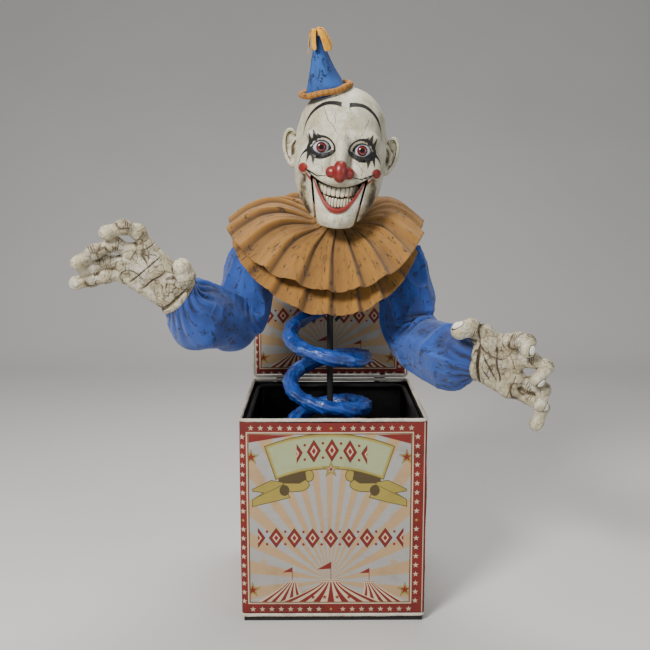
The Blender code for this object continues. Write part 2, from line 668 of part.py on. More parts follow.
def make_head():
    frame = head_frame()
    bpy.context.view_layer.update()
    make_head_shell(frame)
    make_jaw(frame)
    dental_arch("upper_teeth", frame, -0.054, 0.051, -0.097, -0.068)
    dental_arch("lower_teeth", frame, -0.052, 0.047, -0.128, -0.106, spread=55)
    face = make_nose_and_ears(frame)
    make_hat(frame, face)
    flange = 1.022
    shaft = [(0.0, flange + 0.006), (0.040, flange + 0.006), (0.040, flange), (0.005, flange), (0.005, 0.9005),
             (0.0, 0.9005)]
    turned("neck_shaft", shaft, Matrix.Translation(NECK), BLACK_STEEL, closed=False)
    block("jaw_servo", (NECK.x - 0.018, NECK.y - 0.020, flange + 0.0064), (NECK.x + 0.018, NECK.y + 0.020, 1.058),
          BLACK_PLASTIC)


# ---- The arms ----
def frame_across(along):
    """Two unit directions across a line, the second as near upright as it can be."""
    across = along.cross(Vector((0, 0, 1))).normalized()
    return across, across.cross(along).normalized()


def sleeve(name, start, end, stretch, widths, sag, bore=0.009, sides=16):
    """A fabric tube round an arm bar. The widths run evenly along it, and its middle hangs by sag."""
    along = (end - start).normalized()
    across, up = frame_across(along)
    outside, inside = [], []
    for i, width in enumerate(widths):
        share = i / (len(widths) - 1)
        centre = start.lerp(end, stretch[0] + (stretch[1] - stretch[0]) * share)
        hang = Vector((0, 0, -sag * math.sin(math.pi * share)))
        outside.append(ring_round(centre + hang, across, up, width, sides))
        inside.append(ring_round(centre, across, up, bore, sides))
    loft(name, outside + inside[::-1], BLUE_CLOTH, closed=True)


def finger(name, points, thick):
    """A finger from a ring at each joint, with a short taper to its tip."""
    points = [Vector(point) for point in points]
    first = points[0] + (points[0] - points[1]) * 0.6
    last = points[-1] + (points[-1] - points[-2]).normalized() * thick * 0.45
    stations = [first] + points + [last]
    shares = (1.15, 1.15, 1.0, 0.92, 0.75, 0.35)
    rings = []
    for i, (point, share) in enumerate(zip(stations, shares)):
        before, after = stations[max(i - 1, 0)], stations[min(i + 1, len(stations) - 1)]
        across, up = frame_across((after - before).normalized())
        rings.append(ring_round(point, across, up, thick * share, 8))
    return loft(name, rings)


def make_hand(name, arm, fingers):
    """A glove-like hand: a cuff, a palm and five fingers, made one."""
    wrist, palm = Vector(arm["wrist"]), Vector(arm["palm"])
    knuckles = sum((wrist + Vector(fingers[f][0]) for f in ("index", "middle", "ring", "little")), Vector()) / 4
    along = (palm - wrist).normalized()
    across, up = frame_across(along)
    stations = ((wrist + along * 0.012, 0.047), (wrist + along * 0.020, 0.048), (wrist + along * 0.028, 0.042),
                (wrist.lerp(palm, 0.55), 0.038), (palm, 0.044), (palm.lerp(knuckles, 0.65), 0.040),
                (knuckles, 0.022))
    rings = []
    for centre, width in stations:
        flat = 1.0 if width > 0.0405 and centre is not palm else 0.72
        ring = []
        for i in range(14):
            angle = 2 * math.pi * i / 14
            ring.append(centre + across * (width * flat * math.cos(angle)) + up * (width * math.sin(angle)))
        rings.append(ring)
    hand = loft(name, rings, IVORY)
    for label, points in fingers.items():
        places = [wrist + Vector(point) for point in points]
        boolean(hand, finger(name + "_" + label, places, 0.0195 if label == "thumb" else 0.0152), "UNION")


def make_arm(arm, label, fingers):
    shoulder, elbow, wrist = (Vector(arm[key]) for key in ("shoulder", "elbow", "wrist"))
    rod(label + "_upper_arm_bar", shoulder.lerp(elbow, 0.03), shoulder.lerp(elbow, 0.96), 0.006, BLACK_STEEL, sides=12)
    rod(label + "_forearm_bar", elbow.lerp(wrist, 0.05), elbow.lerp(wrist, 1.0), 0.006, BLACK_STEEL, sides=12)
    sleeve(label + "_upper_sleeve", shoulder, elbow, (0.08, 0.76), (0.032, 0.050, 0.055, 0.056, 0.052, 0.034), 0.0)
    sleeve(label + "_forearm_sleeve", elbow, wrist, (0.25, 0.915), (0.026, 0.052, 0.064, 0.065, 0.060, 0.040), 0.020)
    make_hand(label + "_hand", arm, fingers)


def main():
    make_base()
    make_frame()
    make_cover()
    make_lid()
    make_hinges()
    make_mast()
    make_rack_and_pinion()
    make_gear_motor()
    make_electrics()
    make_coil()
    make_figure_frame()
    make_shirt()
    make_collar("collar_upper", UPPER_COLLAR)
    make_collar("collar_lower", LOWER_COLLAR)
    make_head()
    make_arm(RIGHT_ARM, "right", RIGHT_FINGERS)
    make_arm(LEFT_ARM, "left", LEFT_FINGERS)


main()
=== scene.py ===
"""Looks of the jack-in-the-box clown prop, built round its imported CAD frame.

Metres, +Z up, -Y faces the viewer. "Left" and "right" in names are the clown's own, so its right arm is at -X.
"""

import itertools
import math

import bpy
import numpy as np
from mathutils import Matrix, Vector


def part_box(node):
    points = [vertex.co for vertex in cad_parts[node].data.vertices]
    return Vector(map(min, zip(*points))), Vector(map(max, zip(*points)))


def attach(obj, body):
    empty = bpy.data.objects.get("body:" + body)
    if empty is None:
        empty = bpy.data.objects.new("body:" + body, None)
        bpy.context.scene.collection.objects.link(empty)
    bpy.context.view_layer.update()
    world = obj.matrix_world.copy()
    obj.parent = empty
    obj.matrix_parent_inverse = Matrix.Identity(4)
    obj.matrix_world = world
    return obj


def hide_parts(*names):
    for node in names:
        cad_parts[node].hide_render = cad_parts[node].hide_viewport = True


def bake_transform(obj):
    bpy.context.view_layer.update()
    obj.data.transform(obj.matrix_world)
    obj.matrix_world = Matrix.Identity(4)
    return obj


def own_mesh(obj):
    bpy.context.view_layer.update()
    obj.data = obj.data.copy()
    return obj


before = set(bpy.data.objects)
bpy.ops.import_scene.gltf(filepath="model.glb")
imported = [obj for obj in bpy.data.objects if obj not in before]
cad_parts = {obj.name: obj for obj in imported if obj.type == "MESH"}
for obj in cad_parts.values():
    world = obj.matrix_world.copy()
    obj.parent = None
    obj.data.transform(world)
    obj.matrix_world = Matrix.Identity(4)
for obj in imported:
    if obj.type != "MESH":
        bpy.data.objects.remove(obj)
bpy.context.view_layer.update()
X, Y, Z = np.eye(3)

# ---- Dimensions that repeat the CAD model's ----
BOX_HALF = 0.205
COVER_LOW, COVER_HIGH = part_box("box_cover")[0].z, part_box("box_cover")[1].z
PIPING_RADIUS = 0.0042
MAST_X = -0.005
COIL_TUBE = 0.019
NECK_CENTRE = (0.006, -0.022)
NECK_RADIUS = 0.058
HEAD = Vector((0.0175, -0.060, 1.044))
HEAD_ROLL = math.radians(5)
HEAD_FRAME = Matrix.Translation(HEAD) @ Matrix.Rotation(HEAD_ROLL, 4, "Y")
EYE_RADIUS = 0.0215
EYES = {"right_eye": (-0.0435, -0.084, 0.0), "left_eye": (0.0435, -0.084, 0.0)}

RIGHT_ARM = {"side": -1, "shoulder": (-0.185, 0.0, 0.845), "elbow": (-0.215, -0.020, 0.645),
             "wrist": (-0.320, -0.165, 0.722), "palm": (-0.396, -0.200, 0.794), "bag": 1.0}
LEFT_ARM = {"side": 1, "shoulder": (0.165, 0.0, 0.840), "elbow": (0.182, -0.030, 0.610),
            "wrist": (0.297, -0.188, 0.601), "palm": (0.350, -0.217, 0.597), "bag": 0.25}

# Fingers: knuckle to tip, from the wrist.
RIGHT_FINGERS = {
    "index": ((-0.073, -0.040, 0.120), (-0.086, -0.052, 0.150), (-0.111, -0.072, 0.161),
              (-0.144, -0.082, 0.150)),
    "middle": ((-0.102, -0.044, 0.107), (-0.133, -0.060, 0.126), (-0.174, -0.070, 0.110),
               (-0.208, -0.070, 0.088)),
    "ring": ((-0.116, -0.038, 0.085), (-0.157, -0.045, 0.090), (-0.181, -0.050, 0.080),
             (-0.200, -0.050, 0.073)),
    "little": ((-0.130, -0.030, 0.063), (-0.159, -0.040, 0.058), (-0.189, -0.040, 0.050),
               (-0.221, -0.040, 0.043)),
    "thumb": ((-0.024, -0.022, 0.036), (0.000, -0.042, 0.046), (0.012, -0.060, 0.058), (0.006, -0.068, 0.078)),
}
LEFT_FINGERS = {
    "index": ((0.072, -0.037, 0.040), (0.088, -0.057, 0.048), (0.105, -0.072, 0.046), (0.103, -0.082, 0.031)),
    "middle": ((0.088, -0.037, -0.003), (0.120, -0.052, 0.004), (0.147, -0.062, -0.009),
               (0.129, -0.072, -0.034)),
    "ring": ((0.090, -0.032, -0.040), (0.120, -0.042, -0.050), (0.146, -0.052, -0.060),
             (0.141, -0.057, -0.090)),
    "little": ((0.078, -0.027, -0.066), (0.120, -0.032, -0.080), (0.148, -0.042, -0.102),
               (0.137, -0.047, -0.136)),
    "thumb": ((0.032, -0.020, 0.030), (0.021, -0.032, 0.056), (-0.011, -0.047, 0.072),
              (-0.033, -0.052, 0.068)),
}

# Head sections, top down: height over the eye line, half width, and reach to the front and the back.
HEAD_SECTIONS = (
    (0.1425, 0.0, 0.0, 0.0), (0.139, 0.024, 0.028, 0.030), (0.130, 0.051, 0.050, 0.060),
    (0.110, 0.075, 0.076, 0.093), (0.080, 0.092, 0.097, 0.115), (0.040, 0.102, 0.110, 0.126),
    (0.000, 0.103, 0.115, 0.124), (-0.040, 0.101, 0.115, 0.106), (-0.080, 0.094, 0.115, 0.070),
    (-0.115, 0.078, 0.114, 0.030), (-0.145, 0.054, 0.111, -0.012), (-0.165, 0.032, 0.104, -0.045),
)


# ---- Small maths ----
def unit(vectors):
    """Vectors along the last axis, each divided by its length."""
    vectors = np.asarray(vectors, float)
    return vectors / np.maximum(np.linalg.norm(vectors, axis=-1, keepdims=True), 1e-12)


def clamp(values, low=0.0, high=1.0):
    return np.minimum(np.maximum(values, low), high)


def ease(low, high, values):
    """0 below low, 1 above high, and smooth between."""
    share = clamp((values - low) / (high - low))
    return share * share * (3 - 2 * share)


def hump(values, centre, width):
    """A bell of height 1."""
    return np.exp(-(((values - centre) / width) ** 2))


def wobble(points, size, seed=0):
    """Smooth noise from -1 to 1, with bumps of about that size. A size may differ along each axis."""
    at = np.asarray(points, float) / size + 31.7 * seed
    cell = np.floor(at).astype(np.int64)
    share = at - cell
    share = share * share * (3 - 2 * share)
    total = 0.0
    for corner in itertools.product((0, 1), repeat=3):
        x, y, z = np.moveaxis(cell + corner, -1, 0)
        mixed = (x * 73856093) ^ (y * 19349663) ^ (z * 83492791)
        mixed = (mixed * 2654435761) & 0xFFFFFFFF
        mixed = ((mixed >> 15) ^ mixed) * 2246822519 & 0xFFFFFFFF
        value = (mixed >> 8 & 0xFFFF) / 32767.5 - 1
        total = total + value * np.prod(np.where(corner, share, 1 - share), axis=-1)
    return total


def ridges(points, size, seed=0):
    """Creases: 1 along thin lines, falling to 0 between them."""
    return (1 - np.abs(wobble(points, size, seed))) ** 3


def through(points, count):
    """count points spread evenly along a smooth curve through the given ones."""
    points = np.asarray(points, float)
    padded = np.vstack([2 * points[0] - points[1], points, 2 * points[-1] - points[-2]])
    fine = []
    for i in range(len(points) - 1):
        a, b, c, d = padded[i:i + 4]
        for t in np.linspace(0, 1, 40, endpoint=i == len(points) - 2):
            fine.append(0.5 * (2 * b + (c - a) * t + (2 * a - 5 * b + 4 * c - d) * t * t
                               + (3 * b - a - 3 * c + d) * t ** 3))
    fine = np.array(fine)
    far = np.concatenate([[0], np.cumsum(np.linalg.norm(np.diff(fine, axis=0), axis=1))])
    even = np.linspace(0, far[-1], count)
    return np.stack([np.interp(even, far, fine[:, k]) for k in range(fine.shape[1])], 1)


# ---- Meshes ----
def grid_faces(rows, columns, wrap_rows=False, wrap_columns=False):
    """The quads of a grid of points, numbered row by row."""
    i, j = np.meshgrid(np.arange(rows if wrap_rows else rows - 1),
                       np.arange(columns if wrap_columns else columns - 1), indexing="ij")
    down, right = (i + 1) % rows, (j + 1) % columns
    quads = (i * columns + j, i * columns + right, down * columns + right, down * columns + j)
    return np.stack(quads, -1).reshape(-1, 4)


def piece(name, points, faces, look, body=None, slot=None, replaces=(), place=None, **attributes):
    """A shaded object made of quads. Its points are in its place's own frame, or else in the CAD model's."""
    points = np.asarray(points, np.float32).reshape(-1, 3)
    faces = np.asarray(faces, np.int32)
    mesh = bpy.data.meshes.new(name)
    mesh.vertices.add(len(points))
    mesh.vertices.foreach_set("co", points.ravel())
    mesh.loops.add(faces.size)
    mesh.loops.foreach_set("vertex_index", faces.ravel())
    mesh.polygons.add(len(faces))
    mesh.polygons.foreach_set("loop_start", np.arange(0, faces.size, 4, dtype=np.int32))
    mesh.update(calc_edges=True)
    mesh.validate()
    for label, values in attributes.items():
        values = np.asarray(values, np.float32)
        kind = "FLOAT_VECTOR" if values.ndim == 2 else "FLOAT"
        layer = mesh.attributes.new(label, kind, "POINT")
        layer.data.foreach_set("vector" if values.ndim == 2 else "value", values.ravel())
    mesh.shade_smooth()
    made = bpy.data.objects.new(name, mesh)
    bpy.context.scene.collection.objects.link(made)
    mesh.materials.append(look.material)
    if place is not None:
        made.matrix_world = place
    if body:
        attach(made, body)
    if replaces:
        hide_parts(*replaces)
    return made


def thicken(made, thick, offset=-1.0, inner=None):
    """Gives a sheet its cloth's thickness, with another look on its inner side if one is named."""
    solid = made.modifiers.new("cloth", "SOLIDIFY")
    solid.thickness = thick
    solid.offset = offset
    if inner is not None:
        made.data.materials.append(inner.material)
        solid.material_offset = 1
    return made


def tube_points(line, radii, reference, closed=False):
    """Rings round a line. radii has a row for each of its points and a column for each side."""
    line = np.asarray(line, float)
    if closed:
        along = unit(np.roll(line, -1, 0) - np.roll(line, 1, 0))
    else:
        along = unit(np.gradient(line, axis=0))
    across = unit(np.cross(along, reference))
    up = np.cross(across, along)
    angles = np.linspace(0, 2 * math.pi, radii.shape[1], endpoint=False)
    out = across[:, None] * np.cos(angles)[None, :, None] + up[:, None] * np.sin(angles)[None, :, None]
    return line[:, None] + out * radii[..., None], out, angles


def caps(rows, columns):
    """Quads that close both ends of a tube whose rings have an even number of sides."""
    half = columns // 2
    first = [(i, (columns - i) % columns, (columns - i - 1) % columns, i + 1) for i in range(half)]
    last = [tuple((rows - 1) * columns + k for k in quad[::-1]) for quad in first]
    return np.array([quad for quad in first + last if len(set(quad)) == 4])


# ---- Solids kept as distances on a grid ----
class Clay:
    """A solid shaped by adding and carving smooth forms. Its field is below 0 inside."""

    def __init__(self, low, high, step):
        self.low, self.step = np.array(low, float), step
        self.axes = [np.arange(a, b, step) for a, b in zip(low, high)]
        self.field = np.full([len(axis) for axis in self.axes], 1.0, np.float32)

    def window(self, low, high):
        """The part of the grid between two corners: its slices, and its points as three arrays."""
        spans = [np.searchsorted(axis, (a, b)) for axis, a, b in zip(self.axes, low, high)]
        slices = tuple(slice(max(a - 1, 0), b + 1) for a, b in spans)
        x, y, z = (axis[part] for axis, part in zip(self.axes, slices))
        return slices, (x[:, None, None], y[None, :, None], z[None, None, :])

    def form(self, distance, low, high, smooth, carve=False):
        slices, at = self.window(np.array(low) - 2 * smooth, np.array(high) + 2 * smooth)
        old, new = self.field[slices], distance(at)
        if carve:
            old, new = -old, new
        mixed = np.minimum(old, new)
        if smooth > 0:
            near = np.maximum(smooth - np.abs(old - new), 0)
            mixed = mixed - near * near / (4 * smooth)
        self.field[slices] = -mixed if carve else mixed

    def ball(self, centre, radii, smooth=0.004, carve=False, turn=0.0):
        """An ellipsoid, turned about Y."""
        centre, radii = np.array(centre, float), np.array(radii, float)
        cosine, sine = math.cos(turn), math.sin(turn)

        def distance(at):
            x, y, z = (a - c for a, c in zip(at, centre))
            x, z = x * cosine - z * sine, x * sine + z * cosine
            near = np.sqrt((x / radii[0]) ** 2 + (y / radii[1]) ** 2 + (z / radii[2]) ** 2)
            steep = np.sqrt((x / radii[0] ** 2) ** 2 + (y / radii[1] ** 2) ** 2 + (z / radii[2] ** 2) ** 2)
            return near * (near - 1) / np.maximum(steep, 1e-6)

        reach = np.full(3, radii.max()) if turn else radii
        self.form(distance, centre - reach, centre + reach, smooth, carve)

    def limb(self, start, end, start_radius, end_radius, smooth=0.004, carve=False):
        """A round bar with a ball at each end."""
        start, end = np.array(start, float), np.array(end, float)
        along = end - start

        def distance(at):
            gap = [a - s for a, s in zip(at, start)]
            share = clamp(sum(g * a for g, a in zip(gap, along)) / max(along @ along, 1e-12))
            off = np.sqrt(sum((g - share * a) ** 2 for g, a in zip(gap, along)))
            return off - (start_radius + (end_radius - start_radius) * share)

        reach = max(start_radius, end_radius)
        self.form(distance, np.minimum(start, end) - reach, np.maximum(start, end) + reach, smooth, carve)

    def path(self, points, radii, smooth=0.004, carve=False):
        """Limbs along a line of points."""
        for a, b, ra, rb in zip(points, points[1:], radii, radii[1:]):
            self.limb(a, b, ra, rb, smooth, carve)

    def skin(self):
        """The surface as points and quads, one point in each grid cell that it passes through."""
        field, inside = self.field, self.field < 0
        inner = tuple(n - 1 for n in field.shape)
        count = np.zeros(inner, np.int8)
        for corner in itertools.product((0, 1), repeat=3):
            count += inside[tuple(slice(c, c + n) for c, n in zip(corner, inner))]
        cells = np.argwhere((count > 0) & (count < 8))
        number = np.full(inner, -1, np.int32)
        number[tuple(cells.T)] = np.arange(len(cells))
        total, hits = np.zeros((len(cells), 3)), np.zeros(len(cells))
        for axis in range(3):
            others = [k for k in range(3) if k != axis]
            for corner in itertools.product((0, 1), repeat=2):
                start = np.zeros(3, int)
                start[others] = corner
                end = start.copy()
                end[axis] = 1
                first, last = field[tuple((cells + start).T)], field[tuple((cells + end).T)]
                crossed = (first < 0) != (last < 0)
                share = np.where(crossed, first / np.where(crossed, first - last, 1), 0)
                total[crossed] += (cells + start + share[:, None] * (end - start))[crossed]
                hits += crossed
        points = self.low + self.step * total / hits[:, None]
        return points, self.quads(inside, number)

    @staticmethod
    def quads(inside, number):
        faces = []
        for axis in range(3):
            others = [k for k in range(3) if k != axis]
            ahead = np.roll(inside, -1, axis)
            changed = inside != ahead
            changed[tuple(slice(-1, None) if k == axis else slice(None) for k in range(3))] = False
            for k in others:
                changed[tuple(slice(0, 1) if m == k else slice(None) for m in range(3))] = False
                changed[tuple(slice(-1, None) if m == k else slice(None) for m in range(3))] = False
            at = np.argwhere(changed)
            back = np.eye(3, dtype=int)[others]
            corners = (at, at - back[0], at - back[0] - back[1], at - back[1])
            quad = np.stack([number[tuple(c.T)] for c in corners], 1)
            flip = inside[tuple(at.T)] == (axis == 1)
            quad[flip] = quad[flip, ::-1]
            faces.append(quad)
        return np.concatenate(faces)


def neighbours(points, faces):
    """A function that averages values over each point's neighbours."""
    ends = np.concatenate([faces[:, [0, 1]], faces[:, [1, 2]], faces[:, [2, 3]], faces[:, [3, 0]]])
    ends = np.concatenate([ends, ends[:, ::-1]])
    count = np.bincount(ends[:, 0], minlength=len(points))

    def average(values):
        columns = [np.bincount(ends[:, 0], values[ends[:, 1], k], len(points)) for k in range(values.shape[1])]
        return np.stack(columns, 1) / np.maximum(count, 1)[:, None]

    return average


def normals_of(points, faces):
    across = np.cross(points[faces[:, 2]] - points[faces[:, 0]], points[faces[:, 3]] - points[faces[:, 1]])
    total = np.zeros_like(points)
    for corner in range(4):
        for k in range(3):
            total[:, k] += np.bincount(faces[:, corner], across[:, k], len(points))
    return unit(total)


def finished_skin(clay, smoothing=2, hollow_rounds=14):
    """The clay's skin, smoothed a little, with its normals and how deep each point lies in a hollow."""
    points, faces = clay.skin()
    average = neighbours(points, faces)
    for _ in range(smoothing):
        points = points * 0.4 + average(points) * 0.6
    normals = normals_of(points, faces)
    soft = points
    for _ in range(hollow_rounds):
        soft = average(soft)
    hollow = ((soft - points) * normals).sum(1)
    return points, faces, normals, hollow


# ---- Materials as arithmetic ----
def rgb(red, green, blue):
    """An sRGB colour from 0 to 255, as the linear one that a shader takes."""
    shares = (channel / 255 for channel in (red, green, blue))
    return tuple(c / 12.92 if c < 11 / 255 else ((c + 0.055) / 1.055) ** 2.4 for c in shares) + (1.0,)


class Number:
    """A value that varies over a surface. Arithmetic on it adds Math nodes to its material."""

    def __init__(self, look, socket):
        self.look, self.socket = look, socket

    def __add__(self, other):
        return self.look.math("ADD", self, other)

    def __sub__(self, other):
        return self.look.math("SUBTRACT", self, other)

    def __rsub__(self, other):
        return self.look.math("SUBTRACT", other, self)

    def __mul__(self, other):
        return self.look.math("MULTIPLY", self, other)

    def __truediv__(self, other):
        return self.look.math("DIVIDE", self, other)

    def __mod__(self, other):
        return self.look.math("FLOORED_MODULO", self, other)

    def __pow__(self, other):
        return self.look.math("POWER", self, other)

    def __abs__(self):
        return self.look.math("ABSOLUTE", self)

    __radd__, __rmul__ = __add__, __mul__

    def least(self, other):
        return self.look.math("MINIMUM", self, other)

    def most(self, other):
        return self.look.math("MAXIMUM", self, other)

    def inside(self, soft=0.0006):
        """1 where this distance is below 0, and 0 where it is above, with a soft edge."""
        made = self.look.math("MULTIPLY_ADD", self, -1 / soft, 0.5)
        made.socket.node.use_clamp = True
        return made

    def between(self, low, high):
        """0 at low and 1 at high, clamped."""
        made = self.look.math("MULTIPLY_ADD", self, 1 / (high - low), -low / (high - low))
        made.socket.node.use_clamp = True
        return made


def drawn(u, v, points, widths):
    """Distance to a line drawn through the points, with a half width at each."""
    best = None
    for (u1, v1), (u2, v2), w1, w2 in zip(points, points[1:], widths, widths[1:]):
        du, dv = u2 - u1, v2 - v1
        long = du * du + dv * dv
        share = (u - u1) * (du / long) + (v - v1) * (dv / long)
        share.socket.node.use_clamp = True
        across, up = u - u1 - share * du, v - v1 - share * dv
        off = u.look.math("SQRT", across * across + up * up) - share * (w2 - w1) - w1
        best = off if best is None else best.least(off)
    return best


class Look:
    """A material: a Principled shader and the nodes that feed it.

    It is read in the object's own metres, or on the cloth's flat metres if flat is set.
    """

    def __init__(self, name, colour, roughness=0.6, flat=False, **fixed):
        self.material = bpy.data.materials.new(name)
        self.material.use_nodes = True
        self.nodes, self.links = self.material.node_tree.nodes, self.material.node_tree.links
        self.shader = self.nodes["Principled BSDF"]
        if flat:
            self.where = self.attribute("flat", vector=True)
        else:
            self.where = self.nodes.new("ShaderNodeTexCoord").outputs["Object"]
        self.colour = None
        self.base = colour
        self.shader.inputs["Base Color"].default_value = colour
        self.shader.inputs["Roughness"].default_value = roughness
        for label, value in fixed.items():
            self.shader.inputs[label.replace("_", " ").title().replace("Ior", "IOR")].default_value = value

    def feed(self, socket, value):
        if isinstance(value, Number):
            self.links.new(value.socket, socket)
        else:
            socket.default_value = value

    def math(self, operation, *values):
        node = self.nodes.new("ShaderNodeMath")
        node.operation = operation
        for socket, value in zip(node.inputs, values):
            self.feed(socket, value)
        return Number(self, node.outputs[0])

    def attribute(self, label, vector=False):
        node = self.nodes.new("ShaderNodeAttribute")
        node.attribute_name = label
        return node.outputs["Vector"] if vector else Number(self, node.outputs["Fac"])

    def position(self):
        node = self.nodes.new("ShaderNodeSeparateXYZ")
        self.links.new(self.where, node.inputs[0])
        return [Number(self, socket) for socket in node.outputs]

    def stretched(self, size):
        node = self.nodes.new("ShaderNodeMapping")
        sizes = size if hasattr(size, "__len__") else (size,) * 3
        node.inputs["Scale"].default_value = [1 / s for s in sizes]
        self.links.new(self.where, node.inputs["Vector"])
        return node.outputs[0]

    def noise(self, size, detail=4.0, roughness=0.6, distortion=0.0):
        """Noise about 0.5, with lumps of about that size."""
        node = self.nodes.new("ShaderNodeTexNoise")
        self.links.new(self.stretched(size), node.inputs["Vector"])
        node.inputs["Scale"].default_value = 1.0
        node.inputs["Detail"].default_value = detail
        node.inputs["Roughness"].default_value = roughness
        node.inputs["Distortion"].default_value = distortion
        return Number(self, node.outputs["Fac"])

    def cracks(self, size, width):
        """1 along the thin borders of uneven cells."""
        node = self.nodes.new("ShaderNodeTexVoronoi")
        node.feature = "DISTANCE_TO_EDGE"
        self.links.new(self.stretched(size), node.inputs["Vector"])
        node.inputs["Scale"].default_value = 1.0
        return (Number(self, node.outputs["Distance"]) - width).inside(width)

    def layer(self, colour, share):
        """Paints a colour over what is there, as far as share says."""
        node = self.nodes.new("ShaderNodeMix")
        node.data_type = "RGBA"
        self.feed(node.inputs[0], share)
        if self.colour is None:
            node.inputs[6].default_value = self.base
        else:
            self.links.new(self.colour, node.inputs[6])
        node.inputs[7].default_value = colour
        self.colour = node.outputs[2]
        self.links.new(self.colour, self.shader.inputs["Base Color"])

    def rough(self, number):
        self.links.new(number.socket, self.shader.inputs["Roughness"])

    def bump(self, height, distance=0.001, strength=1.0):
        node = self.nodes.new("ShaderNodeBump")
        node.inputs["Distance"].default_value = distance
        node.inputs["Strength"].default_value = strength
        self.links.new(height.socket, node.inputs["Height"])
        before = self.shader.inputs["Normal"]
        if before.is_linked:
            self.links.new(before.links[0].from_socket, node.inputs["Normal"])
        self.links.new(node.outputs[0], before)


def weave(look, pitch, depth=0.00012):
    """Bump of crossed threads along the cloth's own two directions."""
    u, v, _ = look.position()
    threads = look.math("SINE", u * (2 * math.pi / pitch)) * look.math("SINE", v * (2 * math.pi / pitch))
    look.bump(threads, depth)


def cloth_look(name, colour, shade, light, stain, stains=0.62, roughness=0.85, **fixed):
    """Cloth with random patches of painted shade and painted light, stained, and woven."""
    look = Look(name, colour, roughness, flat=True, **fixed)
    # Painted shade and painted light: darker and lighter copies of the cloth's colour, laid in random patches.
    look.layer(shade, look.noise(0.090, 5, 0.6).between(0.45, 0.85))
    look.layer(light, look.noise((0.020, 0.060, 0.040), 5, 0.7).between(0.52, 0.85) * 0.6)
    blots = look.noise((0.013, 0.022, 0.018), 3, 0.6, 0.8).between(stains, stains + 0.03)
    look.layer(stain, blots * look.noise(0.005, 4, 0.7).between(0.40, 0.52) * 0.9)
    look.rough(look.noise(0.05) * 0.2 + (roughness - 0.1))
    weave(look, 0.0011)
    look.bump(look.noise(0.006, 5, 0.7), 0.0006, 0.5)
    return look


def shaded_by(look, label, colour, strength=1.0):
    """Paints shade into folds and hollows where the mesh's attribute of that name is high."""
    look.layer(colour, look.attribute(label).between(0.0, 1.0) * strength)


# ---- The printed panels ----
PRINT_HIGH = 0.441  # from the hem at the bottom to the one at the top
RED, DEEP_RED = rgb(118, 26, 20), rgb(78, 18, 15)
CREAM, PEACH, PALE = rgb(194, 176, 148), rgb(172, 143, 106), rgb(157, 155, 151)
BANNER, BANNER_EDGE, OLIVE, UMBER = rgb(154, 162, 122), rgb(86, 76, 28), rgb(152, 136, 62), rgb(74, 60, 32)
MIDDLE = -0.0053  # the print's own middle line, which sits off the panel's


def star(u, v, radius):
    """Distance to the outline of a five-pointed star that points up."""
    fifth = 2 * math.pi / 5
    around = u.look.math("ARCTAN2", u, v)
    bent = abs((around + fifth / 2) % fifth - fifth / 2)
    far = u.look.math("SQRT", u * u + v * v)
    inner = radius * 0.40
    side = np.array([inner * math.sin(fifth / 2), radius - inner * math.cos(fifth / 2)])
    side /= np.linalg.norm(side)
    along, out = far * u.look.math("COSINE", bent), far * u.look.math("SINE", bent)
    return (along - radius) * float(side[0]) + out * float(side[1])


def block_edge(u, v, low, high):
    """Distance to a rectangle between two corners."""
    across = abs(u - (low[0] + high[0]) / 2) - (high[0] - low[0]) / 2
    up = abs(v - (low[1] + high[1]) / 2) - (high[1] - low[1]) / 2
    return across.most(up)


def patch(u, v, *corners):
    """Distance to a convex shape, its corners given clockwise."""
    made = None
    for (u1, v1), (u2, v2) in zip(corners, corners[1:] + corners[:1]):
        long = math.hypot(u2 - u1, v2 - v1)
        side = (u - u1) * (-(v2 - v1) / long) + (v - v1) * ((u2 - u1) / long)
        made = side if made is None else made.most(side)
    return made


def oval(u, v, centre, radii):
    across, up = (u - centre[0]) / radii[0], (v - centre[1]) / radii[1]
    return (u.look.math("SQRT", across * across + up * up) - 1) * min(radii)


def border_stars(look, u, v):
    """Rows of small stars round the frame, with a diamond in the middle of each."""
    pitch, first = 0.0211, 0.0268
    for row in (0.0095, 0.4290):
        side = abs(u - MIDDLE)
        dots = star((side - first + pitch / 2) % pitch - pitch / 2, v - row, 0.0068)
        dots = dots.most(first - pitch / 2 - side).most(side - 0.181)
        look.layer(CREAM, dots.inside())
        look.layer(OLIVE, (side + abs(v - row) - 0.0035).inside())
    for column in (-0.1990, 0.1835):
        side = abs(v - 0.2190)
        dots = star(u - column, (v - 0.2190 - pitch / 2) % pitch - pitch / 2, 0.0068)
        dots = dots.most(pitch * 0.5 - side).most(side - 0.1985)
        look.layer(CREAM, dots.inside())
        look.layer(OLIVE, (side + abs(u - column) - 0.0035).inside())


def sunburst(look, u, v):
    """Rays from low in the field, closer together where they stand upright."""
    across, up = (u + 0.0084) / 0.60, v - 0.0793
    turn = look.math("ARCTAN2", across, up)
    pair = math.radians(12)
    ray = abs(turn % pair - pair / 2) - pair / 4
    look.layer(PALE, ray.inside(0.02))


